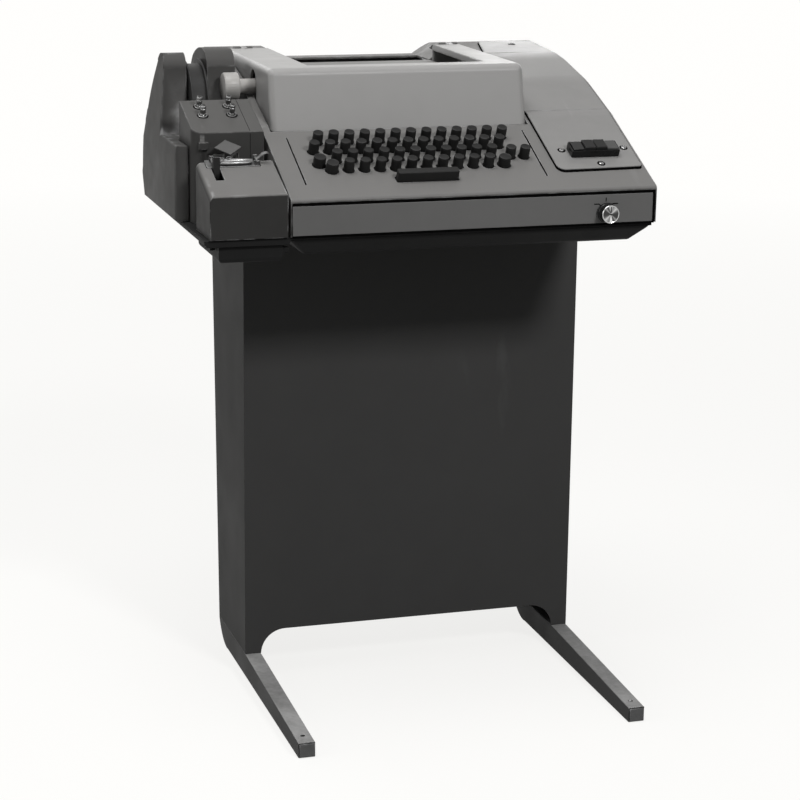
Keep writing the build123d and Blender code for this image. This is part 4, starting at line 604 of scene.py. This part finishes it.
def set_out(name, part_mesh, points, material, lean=0.0, wobble=0.0, turn=0.0, seed=1):
    """A plain mesh of one part repeated at the points."""
    master = bpy.data.objects.new(name + "_master", part_mesh)
    bpy.context.scene.collection.objects.link(master)
    cloud = bpy.data.meshes.new(name)
    cloud.from_pydata([tuple(p) for p in points], [], [])
    piece = make_object(name, cloud, material)
    modifier = piece.modifiers.new("set_out", "NODES")
    modifier.node_group = set_out_tree
    values = {"Part": master, "Material": material, "Lean": lean, "Wobble": wobble, "Turn": turn, "Seed": seed}
    for item in set_out_tree.interface.items_tree:
        if item.in_out == "INPUT" and item.name in values:
            modifier[item.identifier] = values[item.name]
    applied(piece)
    bpy.data.objects.remove(master)
    return piece


print("set-out tree with", len(set_out_tree.nodes), "nodes")

# %% Where the keys stand
KEY_PITCH, ROW_PITCH = 19.05, 20.3
ROW_S = [58.5 + ROW_PITCH * n for n in range(4)]
NUMBER_X = [-164.8 + KEY_PITCH * n for n in range(13)]
UPPER_X = [-174.4 + KEY_PITCH * n for n in range(13)]
HOME_X = [-151.6 + KEY_PITCH * n for n in range(11)]
LOWER_X = [-141.6 + KEY_PITCH * n for n in range(10)]
key_places = {
    "number_row_keys": [(x, ROW_S[3]) for x in NUMBER_X],
    "upper_letter_keys": [(x, ROW_S[2]) for x in UPPER_X],
    "home_letter_keys": [(x, ROW_S[1]) for x in HOME_X],
    "lower_letter_keys": [(x, ROW_S[0]) for x in LOWER_X],
    "repeat_key": [(HOME_X[-1] + 1.22 * KEY_PITCH, ROW_S[1] - 3.5)],
    "break_key": [(HOME_X[-1] + 2.12 * KEY_PITCH, ROW_S[1] - 4.5)],
}
big_places = {
    "control_key": [(HOME_X[0] - 1.17 * KEY_PITCH, ROW_S[1] - 7.5)],
    "left_shift_key": [(LOWER_X[0] - 1.06 * KEY_PITCH, ROW_S[0])],
    "right_shift_key": [(LOWER_X[-1] + 1.03 * KEY_PITCH, ROW_S[0])],
}


def cap_outline(radius, high):
    """Outline of one key cap over its stem, in millimetres above the deck."""
    dish = [(radius * f, high - 0.95 * (1 - f * f) - 0.1) for f in (0.0, 0.3, 0.55, 0.75, 0.88)]
    side = [(radius - 0.05, -5.4), (radius, -4.8), (radius - 0.08, high * 0.4), (radius - 0.2, high - 1.0),
            (radius - 0.35, high - 0.35), (radius - 0.8, high)]
    return [(0, -36), (2.0, -36), (2.0, -6.0), (radius - 0.6, -6.0)] + side + dish[::-1]


print(sum(len(p) for p in key_places.values()) + 3, "keys")

# %% Set the keys out
for places, radius, high in ((key_places, 6.3, 14.5), (big_places, 7.5, 12.0)):
    for row, (part, spots) in enumerate(places.items()):
        cap = turned(part + "_cap", cap_outline(radius, high))
        piece = set_out(part + "_piece", cap, [deck.at(x, s) for x, s in spots], finishes["key_grey"],
                        lean=deck.turn, wobble=0.012, turn=3.0, seed=row + 5)
        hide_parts(part)
        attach(piece, body_of[part])

# %% [markdown]
# ## Punch buttons
# The four push buttons are bright turned posts, waisted in the middle, with a hollow at the tip, and each comes up
# through a bright collar set in a black ring of painted shade.

# %% Buttons, collars and rings of painted shade
button_places = {
    "punch_release_button": (-293.5, 63.5), "punch_off_button": (-258.5, 63.5),
    "punch_backspace_button": (-293.5, 41.5), "punch_on_button": (-258.5, 41.5),
}
button_outline = [(0, -18), (1.8, -18), (1.8, -4), (3.3, -4), (3.3, 2.2), (2.3, 3.0), (2.3, 3.6), (3.2, 4.3),
                  (3.4, 4.8), (3.4, 9.4), (2.9, 9.9), (2.9, 10.6), (3.4, 11.1), (3.4, 13.2), (3.0, 13.9), (1.9, 14.0),
                  (1.6, 13.2), (0, 13.0)]
tip_outline = [(0, 12.9), (1.7, 12.9), (1.9, 13.9), (2.6, 14.0), (2.6, 14.12), (0, 14.0)]
for part, (x, s) in button_places.items():
    mesh = turned(part + "_turned", button_outline, 28)
    mesh.transform(punch_top.matrix(x, s))
    piece = make_object(part + "_piece", mesh, finishes["dull_chrome"])
    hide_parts(part)
    tip_mesh = turned(part + "_tip_turned", tip_outline, 28)
    tip_mesh.transform(punch_top.matrix(x, s))
    tip = make_object(part + "_tip", tip_mesh, finishes["black_plastic"])
    for made, slot in ((piece, slot_of[part]), (tip, "black_plastic")):
        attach(made, body_of[part])
collar_outline = [(4.3, -0.4), (5.9, -0.4), (5.9, 1.3), (5.5, 1.9), (4.7, 1.9), (4.3, 1.5), (4.3, -0.4)]
button_shade_ring_outline = [(5.8, -0.4), (6.9, -0.4), (6.9, 0.25), (6.6, 0.5), (5.8, 0.5), (5.8, -0.4)]
ring_spots = [punch_top.at(x, s) for x, s in button_places.values()]
# The black rings round the collars are painted shade.
for name, outline, look in (("collars", collar_outline, "dull_chrome"), ("rings", button_shade_ring_outline, "shadow_black")):
    rings = set_out("button_" + name, turned(name, outline, 32), ring_spots, finishes[look], lean=punch_top.turn)
    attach(rings, "machine")
print("buttons and rings made")

# %% [markdown]
# ## Small fittings
# The small fittings are what the eye checks first. Each one is lofted or cut from its own outline,
# so that it also holds up as a mesh. Helpers come first: a loft through rings of points, a plate
# cut from an outline, a straight bar on a surface, and a shaft of turned rings laid on its side.

# %% Helpers for small fittings


def fit(piece, slot, body, part=None):
    """Give a piece its body, and let it stand for a part. The slot is not used."""
    if part:
        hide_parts(part)
    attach(piece, body)
    return piece


def built(name, makers, look, degrees=38):
    """A piece from functions that each add a closed form to one shape."""
    mesh = bpy.data.meshes.new(name)
    shape = bmesh.new()
    for maker in makers:
        maker(shape)
    bmesh.ops.recalc_face_normals(shape, faces=shape.faces)
    shape.to_mesh(mesh)
    shape.free()
    set_smooth(mesh, degrees)
    return make_object(name, mesh, finishes[look])


def loft(rings):
    """A closed skin through rings of points, with a cap on each end."""

    def add(shape):
        rows = [[shape.verts.new(p) for p in ring] for ring in rings]
        count = len(rows[0])
        for low, high in zip(rows, rows[1:]):
            for n in range(count):
                m = (n + 1) % count
                shape.faces.new((low[n], low[m], high[m], high[n]))
        shape.faces.new(rows[0][::-1])
        shape.faces.new(rows[-1])

    return add


def plate(points, x0, x1):
    """A plate with an outline of (y, z) points, from x0 to x1, in millimetres."""
    return loft([[at(x, y, z) for y, z in points] for x in (x0, x1)])


def bar(start, end, up, width, high, sunk=0.3):
    """A straight bar on a surface: up is the way it stands out, and sunk is how far it goes in."""
    side = (end - start).normalized().cross(up).normalized() * width * MM / 2
    rings = []
    for p in (start, end):
        low, top = p - up * sunk * MM, p + up * high * MM
        rings.append([low - side, low + side, top + side, top - side])
    return loft(rings)


def laid(mesh, matrix):
    """A turned mesh, laid in place by a matrix, as a form to add to a shape."""
    mesh.transform(matrix)
    return lambda shape: shape.from_mesh(mesh)


def gasket(part, out, drop, look):
    """A dark rim of painted shadow under a raised plate: a copy of the plate, a hair wider and lower."""
    mesh = nodes[part].data.copy()
    shape = bmesh.new()
    shape.from_mesh(mesh)
    bmesh.ops.remove_doubles(shape, verts=shape.verts, dist=3e-6)
    shape.normal_update()
    moves = {}
    for vert in shape.verts:
        sides = [f.normal for f in vert.link_faces if abs(f.normal.z) < 0.3]
        if sides:
            total = Vector((sum(n.x for n in sides), sum(n.y for n in sides), 0))
            if total.length > 1e-6:
                moves[vert] = total.normalized() * out * MM
    for vert in shape.verts:
        vert.co += moves.get(vert, Vector((0, 0, 0))) - Vector((0, 0, drop * MM))
    shape.to_mesh(mesh)
    shape.free()
    set_smooth(mesh)
    return make_object(part + "_rim", mesh, finishes[look])


# %% [markdown]
# ## Screws
# Slotted screws hold the panel plate and the foot plugs. One head is turned from its outline, cut by four planes, and
# the strip between them is pressed in to make the slot. Geometry Nodes sets the heads out, each turned by its own
# chance amount, and under each one on the plate lies a dark ring of painted shade.

# %% A slotted screw


def slotted(name, radius, high, long):
    """A screw with a domed head, whose top is slotted."""
    outline = [(0, -long), (1.9, -long), (1.9, -0.1), (radius - 0.2, -0.1), (radius, 0.15), (radius - 0.15, high * 0.5),
               (radius * 0.72, high * 0.84), (radius * 0.4, high * 0.97), (0, high)]
    mesh = turned(name, outline, 32)
    shape = bmesh.new()
    shape.from_mesh(mesh)
    for x in (-0.5, -0.4, 0.4, 0.5):
        every = shape.verts[:] + shape.edges[:] + shape.faces[:]
        bmesh.ops.bisect_plane(shape, geom=every, plane_co=(x * MM, 0, 0), plane_no=(1, 0, 0))
    for vert in shape.verts:
        if abs(vert.co.x) < 0.45 * MM and vert.co.z > 0.2 * MM:
            vert.co.z = min(vert.co.z, high * 0.42 * MM)
    shape.to_mesh(mesh)
    shape.free()
    set_smooth(mesh, 32)
    return mesh


PANEL_RAISE = 3.5
PANEL_SCREWS = [(128.8, 79.9), (209.2, 81.0), (169.0, 48.2)]
REAR_SCREW = (183.0, 10.0)
FOOT_X, FOOT_HOLE_Y, FOOT_SCREW_Z = 212.0, -8.0, 17.0
shade_ring_outline = [(2.0, -0.3), (5.0, -0.3), (5.0, 0.1), (4.6, 0.16), (2.0, 0.16), (2.0, -0.3)]


def screw_set(name, mesh, look, high):
    """Screws, or the dark rings of painted shade under them, on the plate's slope and on its rear; the screws also in
    the feet. All as one piece.
    """
    groups = [
        ([deck.at(x, s, PANEL_RAISE + high) for x, s in PANEL_SCREWS], deck.turn),
        ([rear_top.at(REAR_SCREW[0], REAR_SCREW[1], PANEL_RAISE + high)], rear_top.turn),
    ]
    if name == "fixing_screws_piece":
        groups.append(([at(x, FOOT_HOLE_Y, FOOT_SCREW_Z) for x in (-FOOT_X, FOOT_X)], 0.0))
    sets = [
        set_out(name + str(n), mesh, points, finishes[look], lean=lean, turn=1.2, seed=n + 3)
        for n, (points, lean) in enumerate(groups)
    ]
    whole = bmesh.new()
    for made in sets:
        whole.from_mesh(made.data)
        bpy.data.objects.remove(made)
    joined = bpy.data.meshes.new(name)
    whole.to_mesh(joined)
    whole.free()
    set_smooth(joined, 32)
    return make_object(name, joined, finishes[look])


screws = screw_set("fixing_screws_piece", slotted("screw", 3.4, 1.7, 8.0), "dull_chrome", 0.15)
fit(screws, slot_of["fixing_screws"], body_of["fixing_screws"], "fixing_screws")
# A dark ring of painted shade under each screw head on the plate.
shade_rings = screw_set("screw_washers", turned("shade_ring", shade_ring_outline, 32), "shadow_black", 0.05)
fit(shade_rings, "black_plastic", "machine")
print("screws and washers set out")

# %% [markdown]
# ## Mode knob
# A black skirt with a fluted grip, and a spun aluminium disc on its face. The bright wedges that run out from the
# middle are painted reflections: the metal's colour changes with the angle round the disc, which an arctangent of its
# place gives.

# %% Spun aluminium with painted reflections


def make_spun(centre):
    material = bpy.data.materials.new("spun_aluminium_painted_glints")
    material.use_nodes = True
    tree = material.node_tree
    shader = tree.nodes["Principled BSDF"]
    shader.inputs["Metallic"].default_value = 1.0
    place = node(tree, "ShaderNodeTexCoord").outputs["Object"]
    offset = node(tree, "ShaderNodeVectorMath", {0: place, 1: centre}, operation="SUBTRACT").outputs[0]
    split = node(tree, "ShaderNodeSeparateXYZ", {0: offset})
    angle = math_node(tree, "ARCTAN2", split.outputs[2], split.outputs[0])
    # The bright wedges are painted reflections, laid in the metal's colour.
    painted_glints = []
    for count, phase, sharp in ((2, 1.62, 26.0), (4, 0.75, 10.0), (2, 0.9, 5.0)):
        wave = math_node(tree, "COSINE", math_node(tree, "MULTIPLY", math_node(tree, "SUBTRACT", angle, phase), float(count)))
        lifted = math_node(tree, "MULTIPLY", math_node(tree, "ADD", wave, 1.0), 0.5)
        painted_glints.append(math_node(tree, "POWER", lifted, sharp))
    glint_level = math_node(tree, "ADD", math_node(tree, "MULTIPLY", painted_glints[0], 0.9), math_node(tree, "MULTIPLY", painted_glints[1], 0.25))
    glint_level = math_node(tree, "ADD", glint_level, math_node(tree, "MULTIPLY", painted_glints[2], 0.3), clamp=True)
    tone = node(tree, "ShaderNodeMix", {"Factor": glint_level}, data_type="RGBA")
    tone.inputs["A"].default_value = grey(0.05)
    tone.inputs["B"].default_value = grey(0.95)
    tree.links.new(tone.outputs["Result"], shader.inputs["Base Color"])
    length = node(tree, "ShaderNodeVectorMath", {0: offset}, operation="LENGTH").outputs["Value"]
    rings = math_node(tree, "SINE", math_node(tree, "MULTIPLY", length, 14000.0))
    tree.links.new(math_node(tree, "ADD", math_node(tree, "MULTIPLY", rings, 0.04), 0.36), shader.inputs["Roughness"])
    bump = node(tree, "ShaderNodeBump", {"Height": rings, "Distance": 0.00002, "Strength": 0.3})
    tree.links.new(bump.outputs[0], shader.inputs["Normal"])
    return material


MODE_KNOB = (160.0, 640.0)
finishes["spun_aluminium_painted_glints"] = make_spun(tuple(at(MODE_KNOB[0], -15.5, MODE_KNOB[1])))
print("made spun_aluminium_painted_glints")

# %% Knob, face and pointer
to_front = Matrix.Translation(at(MODE_KNOB[0], 0, MODE_KNOB[1])) @ Matrix.Rotation(math.radians(90), 4, "X")
knob_outline = [(0, -20), (2.9, -20), (2.9, 2.5), (12, 2.5), (12.1, 3.6), (11.4, 5.0), (10.9, 5.6), (10.8, 6.4),
                (10.6, 14.3), (10.3, 15.0), (9.6, 15.3), (0, 15.3)]
rim_outline = [(9.4, 14.9), (10.7, 14.9), (10.75, 15.3), (10.4, 15.75), (9.9, 15.75), (9.5, 15.45), (9.4, 14.9)]
face_outline = [(0, 15.0), (9.6, 15.0), (9.6, 15.42), (0, 15.55)]
knob = built("mode_knob_piece", [
    laid(turned("knob", knob_outline, 96, 0.035, 24, (5.8, 14.4)), to_front),
], "black_plastic")
fit(knob, slot_of["mode_knob"], body_of["mode_knob"], "mode_knob")
face = built("mode_knob_face", [laid(turned("face", face_outline, 64), to_front)], "spun_aluminium_painted_glints")
fit(face, "chrome_trim", body_of["mode_knob"])
knob_rim = built("mode_knob_rim", [laid(turned("rim", rim_outline, 64), to_front)], "chrome_trim")
fit(knob_rim, "chrome_trim", body_of["mode_knob"])
hub = built("mode_knob_pointer", [
    bar(at(MODE_KNOB[0], -15.5, MODE_KNOB[1] + 2), at(MODE_KNOB[0], -15.5, MODE_KNOB[1] + 9), Vector((0, -1, 0)), 1.2, 0.5),
    laid(turned("hub", [(0, 15.3), (1.1, 15.3), (1.0, 15.75), (0, 15.8)], 20), to_front),
], "black_plastic")
fit(hub, "black_plastic", body_of["mode_knob"])
print("mode knob made")

# %% [markdown]
# ## Lines on the fascia and the deck
# Three printed marks show where the knob points. Dark strips down in the deck's grooves are painted shade, dark strips
# in the gaps round the fascia are painted shadow, and so is a dark rim under the panel plate.

# %% Printed marks, and painted shade in grooves and gaps
FRONT = Vector((0, -1, 0))
DECK_UP = Vector((0, -math.sin(deck.turn), math.cos(deck.turn)))
mark_lines = [
    [(159.5, 653.0), (159.5, 657.6)],
    [(144.5, 650.2), (151.0, 650.2), (154.5, 646.0)],
    [(175.0, 650.2), (168.2, 650.2), (165.0, 646.6)],
]
marks_made = [
    bar(at(a[0], 0, a[1]), at(b[0], 0, b[1]), FRONT, 1.3, 0.12)
    for line in mark_lines for a, b in zip(line, line[1:])
]
fit(built("fascia_marks", marks_made, "print_black"), "black_plastic", "machine")

GROOVES = [(-199.0, 1.1, 0.1), (95.5, 2.0, 0.25)]
GROOVE_S = (31.5, 132.5)
# Dark strips down in the two deck grooves: painted shade.
groove_shade_strips = [
    bar(deck.at(x, GROOVE_S[0], -1.6), deck.at(x, GROOVE_S[1], -1.6), DECK_UP, min(width, 1.5), 1.5 + over)
    for x, width, over in GROOVES
]
fit(built("deck_grooves", groove_shade_strips, "shadow_black"), "black_plastic", "machine")

# Dark strips in the gaps above, below and at the ends of the fascia: painted shadow.
fascia_shade_strips = [
    bar(at(-221.5, 1.8, 663.25), at(221.5, 1.8, 663.25), FRONT, 3.2, 1.6),
    bar(at(-221.5, 1.8, 626.3), at(221.5, 1.8, 626.3), FRONT, 2.2, 1.7),
    bar(at(-221.0, 1.8, 626.0), at(-221.0, 1.8, 663.0), FRONT, 1.4, 1.6),
    bar(at(220.4, 1.8, 626.0), at(220.4, 1.8, 663.0), FRONT, 2.8, 1.9),
]
fit(built("fascia_lip", fascia_shade_strips, "shadow_black"), "black_plastic", "machine")
# A dark rim under the panel plate's edge: painted shadow.
fit(gasket("control_panel_plate", 0.7, 1.3, "shadow_black"), "black_plastic", "machine")
print("lines made")

# %% [markdown]
# ## Platen knob
# The knob on the platen's left end is a cream roller with fine ribs, on a stem that runs in under
# the lid. It is turned about the platen's own axis.

# %% Turn the platen knob
along_platen = Matrix.Translation(at(0, 222, 772)) @ Matrix.Rotation(math.radians(90), 4, "Y")
roller = [(0, -253.0), (14.6, -253.0), (16.2, -252.4), (17.0, -250.9), (17.0, -236.1), (16.2, -234.6), (14.6, -234.0),
          (9.4, -234.0), (9.0, -233.4), (9.0, -196.4), (8.6, -196.0), (0, -196.0)]
platen_knob = built("platen_knob_piece", [
    laid(turned("roller", roller, 96, 0.022, 32, (-251.5, -235.5)), along_platen),
], "cream_plastic", 50)
fit(platen_knob, slot_of["platen_knob"], body_of["platen_knob"], "platen_knob")

# %% [markdown]
# ## Tape gate of the reader
# The reader's tape lid is a bright pressing: two long lips that close over the tape, with small
# eyes and a loop on it. A springy latch holds it down at the right and curls up to a thumb tab.
# The lips are lofted across the slope, so each is a closed form with its own crown.

# %% Lips, eyes and latch


def lip_form(middle, half_long, s, half_wide, rise, base, lift=0.0):
    """A long crowned lip on the reader's slope; lift raises its front edge."""
    rings = []
    for i in range(17):
        t = -0.985 + 1.97 * i / 16
        wide = half_wide * math.sqrt(1 - t * t)
        ring = []
        for j in range(9):
            v = -1 + j / 4
            ring.append(reader_top.at(middle + half_long * t, s + wide * v,
                                      base + rise * (1 - v * v) * (1 - 0.5 * t * t) + lift * (0.5 - 0.5 * v)))
        for v in (1, 0, -1):
            ring.append(reader_top.at(middle + half_long * t, s + wide * v, base - 0.6 + lift * (0.5 - 0.5 * v)))
        rings.append(ring)
    return loft(rings)


def sweep(path, width, thick, s):
    """A flat spring along a path of (x, height) points, as wide as given, up the slope."""
    rings = []
    for n, (x, h) in enumerate(path):
        before, after = path[max(n - 1, 0)], path[min(n + 1, len(path) - 1)]
        run, rise = after[0] - before[0], after[1] - before[1]
        size = math.hypot(run, rise)
        out = (-rise / size * thick / 2, run / size * thick / 2)
        rings.append([
            reader_top.at(x + k * out[0], s + w * width / 2, h + k * out[1])
            for k, w in ((1, -1), (1, 1), (-1, 1), (-1, -1))
        ])
    return loft(rings)


def eye(name, x, s, h, radius, wire, tilt=0.0):
    """A small ring of round wire."""
    outline = [(radius + wire * math.cos(a), wire * math.sin(a)) for a in (2 * math.pi * k / 10 for k in range(11))]
    return laid(turned(name, outline, 24), reader_top.matrix(x, s, h) @ Matrix.Rotation(tilt, 4, "Y"))


TAPE_S, LID_PIN_X, LATCH_PIN_X, TAPE_PIN_H = 73.5, -299.5, -248.0, 3.4
flat_pin = Matrix.Rotation(math.radians(90), 4, "X")
pin_outline = [(0, -7.7), (1.8, -7.7), (1.8, 7.7), (0, 7.7)]
lid_piece = built("reader_tape_lid_piece", [
    lip_form(-274.5, 21.5, TAPE_S + 3.1, 2.9, 2.6, 1.6, -0.6),
    lip_form(-275.0, 22.0, TAPE_S - 3.2, 3.4, 2.8, 1.4, 0.8),
    sweep([(LID_PIN_X, 2.2), (-296, 2.2), (-290, 2.0), (-284, 1.8)], 9.0, 1.2, TAPE_S),
    sweep([(-262, 1.6), (-256, 2.0), (-252.6, 2.4)], 5.0, 1.0, TAPE_S),
    eye("eye_1", -287.5, TAPE_S + 2.6, 4.6, 2.3, 0.55, 0.3),
    eye("eye_2", -279.5, TAPE_S + 3.4, 5.0, 2.6, 0.5, -0.2),
    eye("eye_3", -291.5, TAPE_S - 2.6, 4.4, 2.0, 0.6, 0.5),
    laid(turned("lid_pin", pin_outline, 20), reader_top.matrix(LID_PIN_X, TAPE_S, TAPE_PIN_H) @ flat_pin),
], "gate_steel", 45)
fit(lid_piece, slot_of["reader_tape_lid"], body_of["reader_tape_lid"], "reader_tape_lid")
latch_path = [(-249.5, 4.6), (-247.0, 5.2), (-245.2, 6.4), (-243.2, 8.6), (-241.0, 10.6), (-238.6, 11.8), (-236.2, 12.3),
              (-235.0, 12.0), (-234.4, 11.2)]
latch = built("reader_lid_latch_piece", [
    sweep(latch_path, 5.0, 0.9, TAPE_S),
    laid(turned("latch_pin", pin_outline, 20), reader_top.matrix(LATCH_PIN_X, TAPE_S, TAPE_PIN_H) @ flat_pin),
], "gate_steel", 45)
fit(latch, slot_of["reader_lid_latch"], body_of["reader_lid_latch"], "reader_lid_latch")
print("tape gate made")

# %% [markdown]
# ## Seams on the punch cover and the paper bracket
# The punch cover is made of two shells, so a dark seam runs up its front and over its top. A dark
# cast bracket behind the lid holds the right end of the paper spindle.

# %% Seams and bracket
PUNCH_UP = Vector((0, -math.sin(punch_top.turn), math.cos(punch_top.turn)))
SEAM_X = -245.5
seams = [
    bar(punch_top.at(SEAM_X, 1.6, 0), punch_top.at(SEAM_X, 80.4, 0), PUNCH_UP, 0.5, 0.12),
    bar(at(SEAM_X, 109, 690), at(SEAM_X, 109, 731), FRONT, 0.5, 0.12),
]
fit(built("punch_seams", seams, "shadow_black"), "black_plastic", "machine")

BRACKET_Y, BRACKET_Z = 402.0, rear_top.at(0, 0).z / MM
arm = [(394, BRACKET_Z - 0.2), (411, BRACKET_Z + 0.8), (411, 794.6), (407, 796.4), (404, 797.8), (399, 797.6), (395, 795.4)]
foot_plate = [(392.6, BRACKET_Z - 0.5), (414, BRACKET_Z + 0.8), (414, BRACKET_Z + 2.2), (392.6, BRACKET_Z + 0.9)]
along_x = Matrix.Rotation(math.radians(90), 4, "Y")
nut_outline = [(0, -4), (3.6, -4), (4.2, -3.4), (4.2, 3.4), (3.6, 4), (0, 4)]
bracket = built("paper_bracket", [
    plate(foot_plate, 69.5, 84), plate(arm, 70, 72.5), plate(arm, 79.5, 82),
    laid(turned("bracket_nut", nut_outline, 48, 0.12, 12, (-3.5, 3.5)), Matrix.Translation(at(75.5, BRACKET_Y, 794.0)) @ along_x),
    laid(turned("bracket_end", [(0, -3), (2.2, -3), (2.6, 0), (1.6, 3), (0, 3.4)], 24),
         Matrix.Translation(at(85.6, BRACKET_Y, 794.0)) @ along_x),
], "reel_grey")
fit(bracket, "black_plastic", "machine")

CHUTE = [(246.0, 768.0), (256.0, 775.0), (270.0, 778.2), (300.0, 779.4), (391.2, 779.6)]
chute_outline = CHUTE + [(y, z - 1.2) for y, z in reversed(CHUTE)]
fit(built("paper_chute", [plate(chute_outline, -154.5, 63.5)], "cover_grey"), "cover_grey", "machine")
print("seams and bracket made")

# %% [markdown]
# ## Studio
# A pale floor that the camera sees almost white and that keeps the shadow. Soft lamps stand
# overhead, at the front, at the left and behind, and a small one glints on the panel plate.

# %% Floor


def make_floor():
    mesh = bpy.data.meshes.new("floor")
    mesh.from_pydata([(-30, -30, 0), (30, -30, 0), (30, 60, 0), (-30, 60, 0)], [], [(0, 1, 2, 3)])
    material = bpy.data.materials.new("pale_floor")
    material.use_nodes = True
    tree = material.node_tree
    shader = tree.nodes["Principled BSDF"]
    shader.inputs["Roughness"].default_value = 0.9
    ray = node(tree, "ShaderNodeLightPath")
    tone = node(tree, "ShaderNodeMix", {"Factor": ray.outputs["Is Camera Ray"]}, data_type="RGBA")
    tone.inputs["A"].default_value = (0.3, 0.3, 0.295, 1)
    tone.inputs["B"].default_value = (0.92, 0.92, 0.90, 1)
    tree.links.new(tone.outputs["Result"], shader.inputs["Base Color"])
    mirrored = math_node(tree, "MAXIMUM", ray.outputs["Is Glossy Ray"], ray.outputs["Is Transmission Ray"])
    seen = math_node(tree, "MAXIMUM", ray.outputs["Is Camera Ray"], mirrored)
    glow = node(tree, "ShaderNodeEmission", {"Color": (1, 0.995, 0.98, 1), "Strength": 1.0})
    mix = node(tree, "ShaderNodeMixShader")
    place = node(tree, "ShaderNodeTexCoord").outputs["Object"]
    far = node(tree, "ShaderNodeVectorMath", {0: place}, operation="LENGTH").outputs["Value"]
    level = node(tree, "ShaderNodeMapRange", {"Value": far, "From Min": 1.2, "From Max": 4.0, "To Min": 0.82}).outputs[0]
    tree.links.new(math_node(tree, "MULTIPLY", seen, level), mix.inputs[0])
    tree.links.new(shader.outputs[0], mix.inputs[1])
    tree.links.new(glow.outputs[0], mix.inputs[2])
    tree.links.new(mix.outputs[0], tree.nodes["Material Output"].inputs["Surface"])
    floor = bpy.data.objects.new("floor", mesh)
    mesh.materials.append(material)
    bpy.context.scene.collection.objects.link(floor)
    floor.location.z = -0.0005
    return floor


make_floor()

# %% World and lamps
world = bpy.data.worlds.new("studio")
bpy.context.scene.world = world
world.use_nodes = True
wt = world.node_tree
background = wt.nodes["Background"]
ray = node(wt, "ShaderNodeLightPath")
mirrored = math_node(wt, "MAXIMUM", ray.outputs["Is Glossy Ray"], ray.outputs["Is Transmission Ray"])
seen = math_node(wt, "MAXIMUM", ray.outputs["Is Camera Ray"], mirrored)
white = node(wt, "ShaderNodeBackground", {"Color": (1, 0.995, 0.98, 1), "Strength": 1.0})
both = node(wt, "ShaderNodeMixShader")
background.inputs["Color"].default_value = (0.95, 0.97, 1.0, 1)
background.inputs["Strength"].default_value = 0.12
wt.links.new(seen, both.inputs[0])
wt.links.new(background.outputs[0], both.inputs[1])
wt.links.new(white.outputs[0], both.inputs[2])
wt.links.new(both.outputs[0], wt.nodes["World Output"].inputs["Surface"])


def lamp(name, place, aim, size, power):
    data = bpy.data.lights.new(name, "AREA")
    data.shape = "RECTANGLE"
    data.size, data.size_y = size
    data.energy = power
    made = bpy.data.objects.new(name, data)
    bpy.context.scene.collection.objects.link(made)
    made.location = place
    made.rotation_euler = (Vector(aim) - Vector(place)).to_track_quat("-Z", "Y").to_euler()
    return made


lamp("overhead", (-0.5, -0.6, 3.4), (0, 0, 0.7), (1.8, 1.4), 60)
lamp("front_low", (0.85, -2.95, 2.65), (0.05, -0.1, 0.6), (0.6, 0.5), 66)
lamp("left_window", (-3.2, -0.3, 1.6), (0, 0, 0.6), (1.4, 1.6), 22)
lamp("back_window", (1.25, 2.85, 1.6), (0.2, 0.15, 0.79), (0.3, 0.25), 2.4)
lamp("behind", (-0.6, 3.4, 2.7), (0, 0, 0.6), (1.4, 1.0), 26)
print("studio lit")
